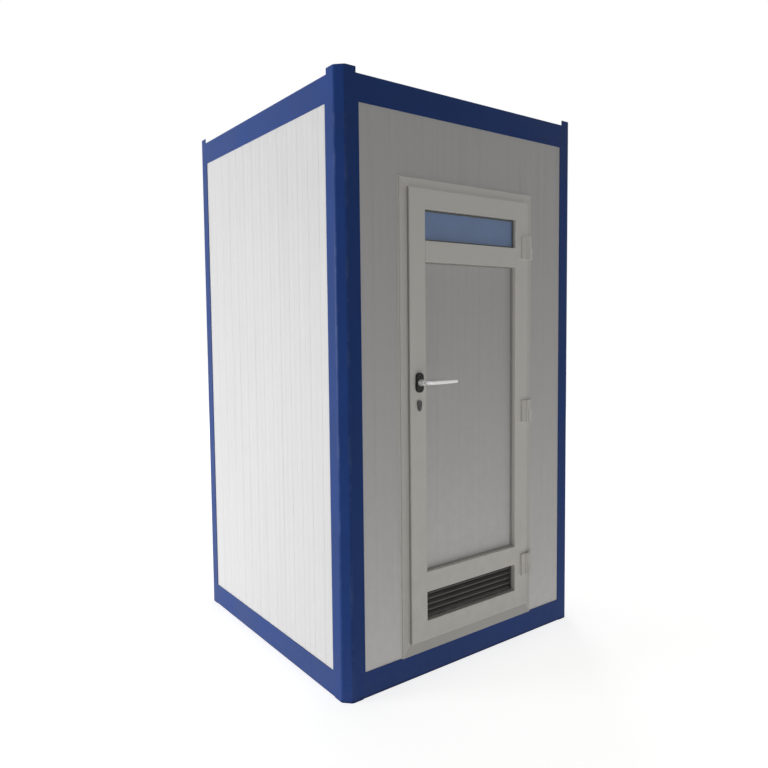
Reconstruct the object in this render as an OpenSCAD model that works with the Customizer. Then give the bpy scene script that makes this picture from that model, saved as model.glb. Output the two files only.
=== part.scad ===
// Small steel-framed sanitary cabin with one outward-opening door.
// The origin is the centre of the footprint on the ground, with +X to the right
// along the front, +Y towards the back and +Z up. The door is in the -Y side.

/* [Cabin] */
// Overall width across the front
cabin_w = 1330; // [1000:10:3000]
// Overall depth from front to back
cabin_d = 1304; // [900:4:3000]
// Overall height to the tops of the folded plates of the corner posts
cabin_h = 2400; // [2250:10:3000]

/* [Steel frame] */
// Width of a corner post, both ways
post_w = 80; // [66:1:100]
// Flat cut across the outer corner of a post, measured along each face
post_chamfer = 32; // [10:1:45]
// Height of the folded outer plate of a post above the top rails
post_stub = 21; // [5:1:60]
// Wall of every steel section, and thickness of the lips over the panels
steel_t = 3; // [2:0.5:5]
// Overlap of the lips of posts and rails over the panel edges
lip_w = 11; // [5:1:30]
// Height of the box section of a base rail
base_rail_h = 93; // [70:1:150]
// Height of the box section of a top rail
top_rail_h = 93; // [75:1:150]
// Width of the inner ledge that carries the roof panel
ledge_w = 30; // [15:1:50]
// Width of the floor bearer
bearer_w = 60; // [40:1:100]

/* [Panels] */
// Thickness of the wall panels
wall_t = 50; // [30:1:62]
// Thickness of the roof panel
roof_t = 50; // [30:1:60]
// Thickness of the floor deck
deck_t = 18; // [12:1:30]

/* [Door frame] */
// Middle of the door to the right of the middle of the front
door_offset = -14; // [-30:1:30]
// Face width of the jambs and the head
frame_face = 46; // [38:1:70]
// Face height of the sill
sill_face = 62; // [45:1:100]
// Depth of the frame from front to back
frame_depth = 60; // [55:1:80]
// Distance the frame stands in front of the wall panels
frame_proud = 10; // [6:1:20]
// Width of the stop that the leaf closes against
stop_w = 14; // [11:1:14]
// Thickness of the stop
stop_t = 12; // [6:1:15]

/* [Door leaf] */
// Width of the leaf
leaf_w = 682; // [560:1:830]
// Height of the leaf
leaf_h = 1831; // [1500:1:2000]
// Overlap of the leaf on the face of the frame
leaf_overlap = 8; // [6:1:12]
// Thickness of the overlapping flange
flange_t = 10; // [8:1:14]
// Gap between the flange and the face of the frame
flange_gap = 5; // [5:1:8]
// Gap between the body of the leaf and the frame round it
edge_gap = 8.5; // [8.5:0.5:10]
// Gap between the leaf and the stop
stop_gap = 5; // [5:1:8]
// Face width of the stiles and of the top and bottom rails
stile_w = 80; // [65:1:100]
// Face height of the two rails between
mid_rail_h = 84; // [60:1:110]
// Height of the vent louvre
louvre_h = 120; // [80:1:200]
// Height of the transom glass
glass_h = 123; // [80:1:250]
// Thickness of the infill panel
infill_t = 24; // [16:1:28]
// Depth of the infill panel behind the face of the leaf
infill_recess = 28; // [15:1:30]
// Thickness of the glazing
glass_t = 20; // [6:1:24]
// Depth of the glazing behind the face of the leaf
glass_recess = 17; // [10:1:30]

/* [Louvre] */
// Width of the rim round the blades
louvre_rim = 6; // [4:1:15]
// Depth of the louvre from front to back
louvre_depth = 30; // [20:1:35]
// Depth of the louvre behind the face of the leaf
louvre_recess = 20; // [5:1:24]
// Distance from one blade to the next
blade_pitch = 23.5; // [16:0.5:40]
// Thickness of a blade
blade_t = 2.5; // [2:0.5:4]
// Distance of the blades behind the edges of the rim, in front and at the back
blade_inset = 4; // [2:0.5:8]
// Slope of a blade down towards the outside, in degrees
blade_slope = 40; // [20:1:50]

/* [Hinges] */
// Height of a hinge
hinge_h = 100; // [60:2:140]
// Middle of the top hinge from the top of the leaf
hinge_top_inset = 200; // [120:1:300]
// Middle of the bottom hinge from the foot of the leaf
hinge_bottom_inset = 192; // [120:1:300]
// Drop of the middle hinge below the middle of the other two
hinge_middle_drop = 11.5; // [0:0.5:100]
// Hinge axis beyond the edge of the leaf
axis_side = 2.5; // [1:0.5:5]
// Radius of the hinge barrel
barrel_r = 8; // [6:0.5:10]
// Gap between the barrel and the face of the leaf
barrel_gap = 1; // [0.5:0.5:3]
// Width of the hinge plate on the leaf
hinge_plate_w = 27; // [20:1:40]
// Hinge axis to the near edge of the plate on the leaf
hinge_arm = 18.5; // [15:0.5:25]
// Thickness of the hinge plate on the jamb
hinge_plate_t = 6; // [3:0.5:8]
// Distance of the plate on the jamb from the outer edge of the jamb
plate_margin = 2; // [1:0.5:10]
// Gap between the turning barrel and the plate behind it
block_gap = 2; // [1:0.5:4]
// Gap between the two barrels of a hinge
knuckle_gap = 0.3; // [0.2:0.1:1]
// Radius of the hinge pin
pin_r = 3.5; // [2.5:0.5:5]
// Gap round the pin in the upper barrel
pin_gap = 0.1; // [0.1:0.1:0.3]

/* [Lever and lock] */
// Height of the lever's spindle above the bottom of the leaf
spindle_up = 1065; // [850:1:1200]
// Spindle from the free edge of the leaf
spindle_in = 42; // [41:1:50]
// Side of the square spindle
spindle_w = 8; // [7:0.5:10]
// Distance of the outer grip's middle from the face of the leaf
lever_reach = 62; // [50:1:80]
// Distance of the inner grip's middle from the leaf, short enough to pass the frame
lever_in_reach = 50; // [40:1:52]
// Length of the grip from the spindle's axis to its end
lever_len = 152; // [110:1:180]
// Radius of the grip and of its neck
lever_r = 8; // [6:0.5:8.5]
// Height of the oval plate behind the lever
plate_h = 80; // [60:1:90]
// Width of the oval plate
plate_w = 36; // [30:1:45]
// Width of the plate inside, narrower to clear the stop of the frame
plate_in_w = 25; // [23:1:28]
// Thickness of the oval plate
plate_t = 11; // [8:1:14]
// Running gap round the neck and the spindle
turn_gap = 0.5; // [0.3:0.1:1]
// Distance of the lock cylinder below the spindle
lock_drop = 93; // [75:1:110]
// Height of the shield round the lock cylinder
shield_h = 44; // [35:1:60]
// Width of the shield
shield_w = 22; // [20:1:30]
// Thickness of the shield
shield_t = 8; // [4:1:12]
// Radius of the lock cylinder
lock_r = 8.5; // [8:0.5:10]

/* [Hidden] */

blue = "#2c488a";
panel_white = "#dedee1";
door_white = "#efefe8";
charcoal = "#2a2a2c";
silver = "#d9d9d9";
deck_grey = "#6f7276";
roof_grey = "#c9ccd0";
glass_blue = "#9bb6ec";
cylinder_grey = "#46464a";

$fn = 48;
// Small length by which a cutting tool runs past the face that it cuts
past = 1;
// Depth that the neck of a lever runs into its plate
neck_in = 5;
// Depth of the key slot
key_depth = 12;
// Width of the key slot
key_slot = 2;

// Half sizes of the cabin
half_w = cabin_w / 2;
half_d = cabin_d / 2;

// Heights of the frame, from the ground up
lip_low_z = base_rail_h + lip_w;
rail_top_z = cabin_h - post_stub;
rail_z = rail_top_z - top_rail_h;
lip_high_z = rail_z - lip_w;

// Front of the building: outer plane, panel face and door planes
front_y = -half_d;
panel_y = front_y + steel_t;
wall_in_y = panel_y + wall_t;
frame_front = panel_y - frame_proud;
frame_back = frame_front + frame_depth;
stop_front = frame_back - stop_t;
flange_back = frame_front - flange_gap;
leaf_front = flange_back - flange_t;
leaf_back = stop_front - stop_gap;

// Door outlines in the plane of the front, as [left, bottom, right, top]
leaf_z = lip_low_z + sill_face - leaf_overlap;
leaf_edge = [door_offset - leaf_w / 2, leaf_z, door_offset + leaf_w / 2, leaf_z + leaf_h];
frame_in = inset(leaf_edge, leaf_overlap);
frame_out = [frame_in[0] - frame_face, lip_low_z, frame_in[2] + frame_face, frame_in[3] + frame_face];
stop_in = inset(frame_in, stop_w);
leaf_body = inset(frame_in, edge_gap);
leaf_clear = inset(leaf_edge, stile_w);

// Heights of the fillings of the leaf
louvre_z = leaf_clear[1];
infill_z = louvre_z + louvre_h + mid_rail_h;
glass_z = leaf_clear[3] - glass_h;
infill_top = glass_z - mid_rail_h;

// Hinge axis and hinge heights
axis_x = leaf_edge[2] + axis_side;
axis_y = leaf_front - barrel_gap - barrel_r;
hinge_bottom_z = leaf_edge[1] + hinge_bottom_inset;
hinge_top_z = leaf_edge[3] - hinge_top_inset;
hinge_middle_z = (hinge_bottom_z + hinge_top_z) / 2 - hinge_middle_drop;

// Spindle and lock
spindle_x = leaf_edge[0] + spindle_in;
spindle_z = leaf_edge[1] + spindle_up;
lock_z = spindle_z - lock_drop;

// Side numbers of a rectangular ring, and its corners in turn
BOTTOM = 0;
RIGHT = 1;
TOP = 2;
LEFT = 3;

function inset(r, d) = [r[0] + d, r[1] + d, r[2] - d, r[3] - d];
function corner(r, k) = [
    (k % 4 == 0 || k % 4 == 3) ? r[0] : r[2],
    (k % 4 < 2) ? r[1] : r[3]
];

// ---------------------------------------------------------------- steel frame

// Outline of a post in its own corner, with the outer corner at the origin
module post_outline(t) {
    cut = post_chamfer + t * (sqrt(2) - 1);
    polygon([
        [max(t, cut), t], [post_w - t, t], [post_w - t, post_w - t],
        [t, post_w - t], [t, max(t, cut)]
    ]);
}

// Space inside the folded outer plate of a post, open on the two inner sides
module plate_space() {
    cut = post_chamfer + steel_t * (sqrt(2) - 1);
    polygon([
        [cut, steel_t], [post_w + past, steel_t], [post_w + past, post_w + past],
        [steel_t, post_w + past], [steel_t, cut]
    ]);
}

// Corner post, hollow and capped level with the top rails, with a lip over the
// panel on each side and the folded outer plate standing on above the cap
module post() {
    color(blue) {
        difference() {
            linear_extrude(cabin_h) post_outline(0);
            translate([0, 0, -past])
                linear_extrude(rail_top_z - steel_t + past) post_outline(steel_t);
            translate([0, 0, rail_top_z])
                linear_extrude(post_stub + past) plate_space();
        }
        lip_h = rail_z - base_rail_h;
        translate([post_w, 0, base_rail_h]) cube([lip_w, steel_t, lip_h]);
        translate([0, post_w, base_rail_h]) cube([steel_t, lip_w, lip_h]);
    }
}

module post_at(right, back) {
    mirror([right, 0, 0])
        mirror([0, back, 0])
            translate([-half_w, -half_d, 0]) post();
}

// Open-ended box section along X, with its outer face at y = 0
module rail_box(length, height) {
    translate([-length / 2, 0, 0])
        difference() {
            cube([length, post_w, height]);
            translate([-past, steel_t, steel_t])
                cube([length + 2 * past, post_w - 2 * steel_t, height - 2 * steel_t]);
        }
}

// Base rail between two posts, with a lip in front of the panel above
module base_rail(length) {
    lip_len = length - 2 * lip_w;
    color(blue) {
        rail_box(length, base_rail_h);
        translate([-lip_len / 2, 0, base_rail_h]) cube([lip_len, steel_t, lip_w]);
    }
}

// Top rail between two posts, with a lip over the panel and a ledge for the roof
module top_rail(length, ledge_len) {
    lip_len = length - 2 * lip_w;
    color(blue)
        translate([0, 0, rail_z]) {
            rail_box(length, top_rail_h);
            translate([-lip_len / 2, 0, -lip_w]) cube([lip_len, steel_t, lip_w]);
            translate([-ledge_len / 2, post_w, 0]) cube([ledge_len, ledge_w, steel_t]);
        }
}

// Places a rail drawn along X on one of the four sides of the cabin
module on_side(side) {
    out = (side == LEFT || side == RIGHT) ? half_w : half_d;
    turn = [0, 90, 180, 270];
    rotate([0, 0, turn[side]]) translate([0, -out, 0]) children();
}

span_x = cabin_w - 2 * post_w;
span_y = cabin_d - 2 * post_w;

// Floor bearer across the middle of the base
module floor_bearer() {
    color(blue)
        translate([-span_x / 2, -bearer_w / 2, 0])
            difference() {
                cube([span_x, bearer_w, base_rail_h]);
                translate([-past, steel_t, steel_t])
                    cube([span_x + 2 * past, bearer_w - 2 * steel_t, base_rail_h - 2 * steel_t]);
            }
}

// --------------------------------------------------------------------- panels

// Floor deck on the base rails, cut out round the posts
module floor_deck() {
    side = steel_t + wall_t;
    notch = post_w - side;
    color(deck_grey)
        translate([0, 0, base_rail_h])
            difference() {
                translate([side - half_w, side - half_d, 0])
                    cube([cabin_w - 2 * side, cabin_d - 2 * side, deck_t]);
                for (sx = [0, 1], sy = [0, 1])
                    mirror([sx, 0, 0]) mirror([0, sy, 0])
                        translate([side - half_w - past, side - half_d - past, -past])
                            cube([notch + past, notch + past, deck_t + 2 * past]);
            }
}

wall_h = rail_z - base_rail_h;

// Wall panel along X between two posts, with its outer face at y = steel_t
module wall_panel(length) {
    color(panel_white)
        translate([-length / 2, steel_t, base_rail_h]) cube([length, wall_t, wall_h]);
}

// Piece of the front wall between two places along X and two heights
module front_piece(x0, x1, z0, z1) {
    color(panel_white)
        translate([x0, panel_y, z0]) cube([x1 - x0, wall_t, z1 - z0]);
}

// Roof panel on the ledges of the top rails
module roof_panel() {
    color(roof_grey)
        translate([-span_x / 2, -span_y / 2, rail_z + steel_t]) cube([span_x, span_y, roof_t]);
}

// ----------------------------------------------------------------- door frame

// One mitred side of a rectangular ring, between two depths
module ring_side(side, outer, inner, front, back) {
    translate([0, back, 0]) rotate([90, 0, 0])
        linear_extrude(back - front)
            polygon([
                corner(outer, side), corner(outer, side + 1),
                corner(inner, side + 1), corner(inner, side)
            ]);
}

// Member of the door frame: the main section and the stop behind the leaf
module frame_member(side) {
    ring_side(side, frame_out, frame_in, frame_front, frame_back);
    ring_side(side, frame_in, stop_in, stop_front, frame_back);
}

module door_jamb(side) {
    color(door_white) frame_member(side);
}

module door_head() {
    color(door_white) frame_member(TOP);
}

// Sill with a tongue that stands on the base rail behind its lip
module door_sill() {
    color(door_white) {
        frame_member(BOTTOM);
        translate([frame_out[0], panel_y, base_rail_h])
            cube([frame_out[2] - frame_out[0], frame_back - panel_y, lip_w]);
    }
}

// ------------------------------------------------------------------ door leaf

// Mitred member of the leaf: the flange over the frame and the body within it
module leaf_member(side) {
    ring_side(side, leaf_edge, leaf_clear, leaf_front, flange_back);
    ring_side(side, leaf_body, leaf_clear, flange_back, leaf_back);
}

// Rail between the stiles, from the height z up
module leaf_mid_rail(z) {
    color(door_white)
        translate([leaf_clear[0], leaf_front, z])
            cube([leaf_clear[2] - leaf_clear[0], leaf_back - leaf_front, mid_rail_h]);
}

// Straight round hole through the leaf, on the line of the lever or the lock
module through_leaf(r, z) {
    translate([spindle_x, leaf_back + past, z]) rotate([90, 0, 0])
        cylinder(r = r, h = leaf_back - leaf_front + 2 * past);
}

// Bore in the stile round the corners of the square spindle
spindle_bore = spindle_w / sqrt(2) + turn_gap;

module leaf_stile_lock() {
    color(door_white)
        difference() {
            leaf_member(LEFT);
            through_leaf(spindle_bore, spindle_z);
            through_leaf(lock_r, lock_z);
        }
}

module leaf_stile_hinge() {
    color(door_white) leaf_member(RIGHT);
}

module leaf_rail_end(side) {
    color(door_white) leaf_member(side);
}

// Filling of the clear width of the leaf
module leaf_filling(z0, z1, recess, thickness) {
    translate([leaf_clear[0], leaf_front + recess, z0])
        cube([leaf_clear[2] - leaf_clear[0], thickness, z1 - z0]);
}

module leaf_infill() {
    color(panel_white) leaf_filling(infill_z, infill_top, infill_recess, infill_t);
}

module leaf_glass() {
    color(glass_blue, 0.6) leaf_filling(glass_z, leaf_clear[3], glass_recess, glass_t);
}

// Vent louvre: a rim with sloping blades from side to side
module leaf_louvre() {
    width = leaf_clear[2] - leaf_clear[0];
    blades = round((louvre_h - 2 * louvre_rim) / blade_pitch);
    first = (louvre_h - (blades - 1) * blade_pitch) / 2;
    blade_run = louvre_depth - 2 * blade_inset;
    blade_l = blade_run / cos(blade_slope);
    color(charcoal)
        translate([leaf_clear[0], leaf_front + louvre_recess, louvre_z]) {
            difference() {
                cube([width, louvre_depth, louvre_h]);
                translate([louvre_rim, -past, louvre_rim])
                    cube([width - 2 * louvre_rim, louvre_depth + 2 * past, louvre_h - 2 * louvre_rim]);
            }
            intersection() {
                translate([louvre_rim / 2, 0, louvre_rim / 2])
                    cube([width - louvre_rim, louvre_depth, louvre_h - louvre_rim]);
                for (k = [0 : blades - 1])
                    translate([0, louvre_depth / 2, first + k * blade_pitch])
                        rotate([blade_slope, 0, 0])
                            translate([0, -blade_l / 2, -blade_t / 2])
                                cube([width, blade_l, blade_t]);
            }
        }
}

// --------------------------------------------------------------------- hinges

half_knuckle = (hinge_h - knuckle_gap) / 2;
// Hinge axis to the block that joins the lower barrel to the jamb
block_in = barrel_r + block_gap;
// Thickness of the arms that hold the barrels
arm_t = barrel_r;

// Fixed half: the lower barrel with the pin, its arm and the plate on the jamb
module hinge_frame(z) {
    plate_x = axis_x + block_in;
    plate_end = frame_out[2] - plate_margin;
    color(door_white)
        translate([0, 0, z - hinge_h / 2]) {
            translate([axis_x, axis_y, 0]) {
                cylinder(r = barrel_r, h = half_knuckle);
                cylinder(r = pin_r, h = hinge_h);
            }
            translate([axis_x, axis_y - arm_t / 2, 0])
                cube([block_in + hinge_plate_t, arm_t, half_knuckle]);
            translate([plate_x, axis_y - arm_t / 2, 0])
                cube([hinge_plate_t, frame_front - axis_y + arm_t / 2, half_knuckle]);
            translate([plate_x, frame_front - hinge_plate_t, 0])
                cube([plate_end - plate_x, hinge_plate_t, hinge_h]);
        }
}

// Moving half: the upper barrel, bored for the pin, and the plate on the stile
module hinge_leaf(z) {
    plate_x = axis_x - hinge_arm - hinge_plate_w;
    color(door_white)
        translate([0, 0, z - hinge_h / 2]) {
            difference() {
                union() {
                    translate([axis_x, axis_y, hinge_h - half_knuckle])
                        cylinder(r = barrel_r, h = half_knuckle);
                    translate([axis_x - hinge_arm, axis_y - arm_t / 2, hinge_h - half_knuckle])
                        cube([hinge_arm, arm_t, half_knuckle]);
                }
                translate([axis_x, axis_y, -past])
                    cylinder(r = pin_r + pin_gap, h = hinge_h + 2 * past);
            }
            translate([plate_x, axis_y, 0])
                cube([hinge_plate_w, leaf_front - axis_y, hinge_h]);
        }
}

// ------------------------------------------------------------- lever and lock

// Upright oval prism, centred on the spindle's line, from y = 0 forwards
module oval(height, width, thickness) {
    rotate([90, 0, 0])
        linear_extrude(thickness) {
            straight = height - width;
            square([width, straight], center = true);
            for (s = [-1, 1])
                translate([0, s * straight / 2]) circle(d = width);
        }
}

// Oval plate round the neck of a lever, drawn for the outside
module lever_plate(width) {
    color(charcoal)
        difference() {
            oval(plate_h, width, plate_t);
            translate([0, past, 0]) rotate([90, 0, 0])
                cylinder(r = lever_r + turn_gap, h = plate_t + 2 * past);
        }
}

// Neck and grip of a lever, drawn for the outside with the leaf's face at y = 0
module lever(reach) {
    start = plate_t - neck_in;
    translate([0, -start, 0]) rotate([90, 0, 0])
        cylinder(r = lever_r, h = reach - start);
    translate([0, -reach, 0]) sphere(r = lever_r);
    translate([0, -reach, 0]) rotate([0, 90, 0])
        cylinder(r = lever_r, h = lever_len - lever_r);
    translate([lever_len - lever_r, -reach, 0]) sphere(r = lever_r);
}

// Places what is drawn for the outside on the inner face of the leaf
module inside_leaf(z) {
    translate([spindle_x, leaf_back, z]) mirror([0, 1, 0]) children();
}

module outside_leaf(z) {
    translate([spindle_x, leaf_front, z]) children();
}

// Outer lever with the square spindle that runs through to the inner one
module lever_outer() {
    spindle_l = leaf_back - leaf_front + 2 * (plate_t - neck_in);
    color(silver) {
        outside_leaf(spindle_z) lever(lever_reach);
        translate([
            spindle_x - spindle_w / 2, leaf_front - (plate_t - neck_in),
            spindle_z - spindle_w / 2
        ])
            cube([spindle_w, spindle_l, spindle_w]);
    }
}

module lever_inner() {
    color(silver) inside_leaf(spindle_z) lever(lever_in_reach);
}

// Lock cylinder through the stile, with a shield and a key slot at each end
module lock_cylinder() {
    through = leaf_back - leaf_front;
    color(cylinder_grey)
        difference() {
            union() {
                outside_leaf(lock_z) oval(shield_h, shield_w, shield_t);
                inside_leaf(lock_z) oval(shield_h, shield_w, shield_t);
                translate([spindle_x, leaf_back, lock_z]) rotate([90, 0, 0])
                    cylinder(r = lock_r, h = through);
            }
            for (y = [leaf_front - shield_t, leaf_back + shield_t])
                translate([spindle_x - key_slot / 2, y - key_depth, lock_z - lock_r / 2])
                    cube([key_slot, 2 * key_depth, lock_r]);
        }
}

post_at(0, 0);  // post_front_left
post_at(1, 0);  // post_front_right
post_at(0, 1);  // post_back_left
post_at(1, 1);  // post_back_right
on_side(BOTTOM) base_rail(span_x);  // base_rail_front
on_side(TOP) base_rail(span_x);  // base_rail_back
on_side(LEFT) base_rail(span_y);  // base_rail_left
on_side(RIGHT) base_rail(span_y);  // base_rail_right
on_side(BOTTOM) top_rail(span_x, span_x);  // top_rail_front
on_side(TOP) top_rail(span_x, span_x);  // top_rail_back
on_side(LEFT) top_rail(span_y, span_y - 2 * ledge_w);  // top_rail_left
on_side(RIGHT) top_rail(span_y, span_y - 2 * ledge_w);  // top_rail_right
floor_bearer();
floor_deck();
on_side(TOP) wall_panel(span_x);  // wall_back
on_side(LEFT) wall_panel(span_y);  // wall_left
on_side(RIGHT) wall_panel(span_y);  // wall_right
front_piece(-span_x / 2, frame_out[0], base_rail_h, rail_z);  // wall_front_left
front_piece(frame_out[2], span_x / 2, base_rail_h, rail_z);  // wall_front_right
front_piece(frame_out[0], frame_out[2], frame_out[3], rail_z);  // wall_over_door
roof_panel();
door_jamb(LEFT);  // door_jamb_left
door_jamb(RIGHT);  // door_jamb_right
door_head();
door_sill();
hinge_frame(hinge_top_z);  // hinge_frame_top
hinge_frame(hinge_middle_z);  // hinge_frame_middle
hinge_frame(hinge_bottom_z);  // hinge_frame_bottom
leaf_stile_lock();
leaf_stile_hinge();
leaf_rail_end(TOP);  // leaf_rail_top
leaf_mid_rail(infill_top);  // leaf_rail_upper
leaf_mid_rail(infill_z - mid_rail_h);  // leaf_rail_lower
leaf_rail_end(BOTTOM);  // leaf_rail_bottom
leaf_infill();
leaf_glass();
leaf_louvre();
hinge_leaf(hinge_top_z);  // hinge_leaf_top
hinge_leaf(hinge_middle_z);  // hinge_leaf_middle
hinge_leaf(hinge_bottom_z);  // hinge_leaf_bottom
outside_leaf(spindle_z) lever_plate(plate_w);  // lever_plate_outer
inside_leaf(spindle_z) lever_plate(plate_in_w);  // lever_plate_inner
lock_cylinder();
lever_outer();
lever_inner();
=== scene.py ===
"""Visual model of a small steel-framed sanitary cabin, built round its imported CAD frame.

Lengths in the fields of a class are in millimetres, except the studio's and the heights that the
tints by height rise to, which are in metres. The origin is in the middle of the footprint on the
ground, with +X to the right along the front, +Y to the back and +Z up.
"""

from __future__ import annotations

import logging
import math
from collections.abc import Callable, Iterable, Iterator, Sequence
from contextlib import contextmanager
from dataclasses import dataclass, field, replace
from enum import Enum, IntEnum

import bmesh
import bpy
from mathutils import Matrix, Vector

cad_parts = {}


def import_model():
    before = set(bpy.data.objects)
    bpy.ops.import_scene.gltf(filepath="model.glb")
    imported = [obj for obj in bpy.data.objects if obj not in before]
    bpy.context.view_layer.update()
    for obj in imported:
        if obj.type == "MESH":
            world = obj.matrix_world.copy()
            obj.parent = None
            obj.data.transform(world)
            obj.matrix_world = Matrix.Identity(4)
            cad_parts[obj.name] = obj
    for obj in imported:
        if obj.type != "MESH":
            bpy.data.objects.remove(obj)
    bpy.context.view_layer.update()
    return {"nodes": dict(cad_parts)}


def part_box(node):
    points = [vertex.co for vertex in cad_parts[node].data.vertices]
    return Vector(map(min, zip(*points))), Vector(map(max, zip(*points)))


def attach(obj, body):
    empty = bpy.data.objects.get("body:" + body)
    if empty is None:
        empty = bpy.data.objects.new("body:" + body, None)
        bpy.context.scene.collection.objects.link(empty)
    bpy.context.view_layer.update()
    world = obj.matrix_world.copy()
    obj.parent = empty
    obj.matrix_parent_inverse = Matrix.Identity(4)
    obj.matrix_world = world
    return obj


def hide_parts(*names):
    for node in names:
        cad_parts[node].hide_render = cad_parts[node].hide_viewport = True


LOG = logging.getLogger("cabin")

# One millimetre, in metres.
MM = 0.001
# A point this near to an edge or a face of a piece counts as on it, in metres.
NEAR = 2e-4
# Points of one mesh that are nearer than this are the same point, in metres.
SAME = 1e-6
# The same for points that were copied or moved, in metres.
CLOSE = 1e-5
# An edge or a normal counts as along an axis from this cosine on.
STRAIGHT = 0.99
# A face counts as facing a way from this cosine on.
FACING = 0.9
# Faces that turn by less than this are one flat face, in degrees.
FLAT = 0.5
# The slot that marks the rounded faces of a piece until it is dressed.
RIM_SLOT = 1

Object = bpy.types.Object
Material = bpy.types.Material
Node = bpy.types.Node
Socket = bpy.types.NodeSocket
Srgb = tuple[int, int, int]
Triple = tuple[float, float, float]
PointTest = Callable[[Vector], bool]
FaceTest = Callable[[Vector, Vector], bool]


class Body(Enum):
    """The moving bodies of the cabin."""

    CABIN = "cabin"
    LEAF = "door_leaf"
    LEVER = "lever"


class Pick(Enum):
    """What is selected in edit mode."""

    POINTS = (True, False, False)
    EDGES = (False, True, False)
    FACES = (False, False, True)


class Sheet(Enum):
    """The two sheets of a panel."""

    OUTER = 0
    INNER = 1


class Axis(IntEnum):
    """The axes of the frame, as places in a vector."""

    X = 0
    Y = 1
    Z = 2


class Side(IntEnum):
    """The two sides of the door leaf, as the sign of Y."""

    OUTSIDE = -1
    INSIDE = 1


# ------------------------------------------------------------------------ hand tools


def mm(*values: float) -> Vector:
    """Returns a vector in metres from millimetres."""
    return Vector(values) * MM


def put_down_all() -> None:
    """Leaves edit mode and deselects every object."""
    if bpy.context.mode != "OBJECT":
        bpy.ops.object.mode_set(mode="OBJECT")
    bpy.ops.object.select_all(action="DESELECT")


def take_up(piece: Object) -> None:
    """Selects one piece and makes it the active object.

    Args:
        piece: The object to work on.
    """
    put_down_all()
    bpy.context.view_layer.objects.active = piece
    piece.select_set(True)


@contextmanager
def editing(piece: Object, pick: Pick = Pick.FACES) -> Iterator[None]:
    """Opens a piece in edit mode with nothing selected, and closes it afterwards.

    Args:
        piece: The mesh object to edit.
        pick: What is selected.
    """
    take_up(piece)
    bpy.ops.object.mode_set(mode="EDIT")
    bpy.context.tool_settings.mesh_select_mode = pick.value
    bpy.ops.mesh.select_all(action="DESELECT")
    yield
    bpy.ops.object.mode_set(mode="OBJECT")


def pick_points(piece: Object, test: PointTest) -> None:
    """Selects only the points that pass a test, in edit mode.

    Args:
        piece: The piece in edit mode.
        test: Takes a point's place.
    """
    bpy.ops.mesh.select_all(action="DESELECT")
    mesh = bmesh.from_edit_mesh(piece.data)
    for point in mesh.verts:
        if test(point.co):
            point.select_set(True)
    mesh.select_flush(True)
    bmesh.update_edit_mesh(piece.data)


def pick_faces(piece: Object, test: FaceTest) -> None:
    """Selects only the faces that pass a test, in edit mode.

    Args:
        piece: The piece in edit mode.
        test: Takes a face's middle and its normal.
    """
    bpy.ops.mesh.select_all(action="DESELECT")
    mesh = bmesh.from_edit_mesh(piece.data)
    mesh.normal_update()
    for face in mesh.faces:
        if test(face.calc_center_median(), face.normal):
            face.select_set(True)
    bmesh.update_edit_mesh(piece.data)


def pick_creases(
    piece: Object, least: float, where: PointTest | None = None, along: Axis | None = None
) -> int:
    """Selects the outward edges that turn by more than an angle, in edit mode.

    Args:
        piece: The piece in edit mode.
        least: The smallest turn, in degrees.
        where: Both ends of an edge have to pass this test.
        along: Only edges that run along this axis are taken.

    Returns:
        How many were found.
    """

    def runs_along(edge: bmesh.types.BMEdge) -> bool:
        """Tells whether an edge runs along the axis."""
        a, b = (v.co for v in edge.verts)
        return along is None or abs((b - a).normalized()[along]) > STRAIGHT

    mesh = bmesh.from_edit_mesh(piece.data)
    mesh.normal_update()
    limit = math.radians(least)
    found = [
        e
        for e in mesh.edges
        if len(e.link_faces) == 2
        and e.calc_face_angle_signed() > limit
        and (where is None or all(where(v.co) for v in e.verts))
        and runs_along(e)
    ]
    for e in found:
        e.select_set(True)
    bmesh.update_edit_mesh(piece.data)
    return len(found)


def settle(name: str, stretch: Triple = (1, 1, 1)) -> Object:
    """Names the active object, stretches it and puts its place into its mesh.

    Args:
        name: The piece's name.
        stretch: How far it is stretched along its own axes, before it is turned.

    Returns:
        The piece, with its object at the origin.
    """
    piece = bpy.context.view_layer.objects.active
    take_up(piece)
    piece.scale = stretch
    piece.name = name
    piece.data.name = name
    bpy.ops.object.transform_apply(location=True, rotation=True, scale=True)
    piece.data.materials.clear()
    return piece


def block(name: str, low: Vector, high: Vector) -> Object:
    """Adds a block between two corners.

    Args:
        name: The piece's name.
        low: The lowest corner, in metres.
        high: The highest corner, in metres.

    Returns:
        The new piece.
    """
    put_down_all()
    bpy.ops.mesh.primitive_cube_add(size=1, location=(low + high) / 2, scale=high - low)
    return settle(name)


def rod(name: str, start: Vector, end: Vector, radius: float, sides: int = 32) -> Object:
    """Adds a round rod between two points.

    Args:
        name: The piece's name.
        start: One end of its axis, in metres.
        end: The other end, in metres.
        radius: Its radius, in metres.
        sides: How many sides it has.

    Returns:
        The new piece.
    """
    put_down_all()
    axis = end - start
    bpy.ops.mesh.primitive_cylinder_add(
        vertices=sides,
        radius=radius,
        depth=axis.length,
        location=(start + end) / 2,
        rotation=axis.to_track_quat("Z", "Y").to_euler(),
    )
    return settle(name)


def apply_all(piece: Object) -> None:
    """Applies every modifier of a piece, in order."""
    take_up(piece)
    for modifier in list(piece.modifiers):
        bpy.ops.object.modifier_apply(modifier=modifier.name)


def open_rim_slot(piece: Object) -> None:
    """Gives a piece the slots that tell its rounded faces from the others."""
    while len(piece.data.materials) <= RIM_SLOT:
        piece.data.materials.append(None)


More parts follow.
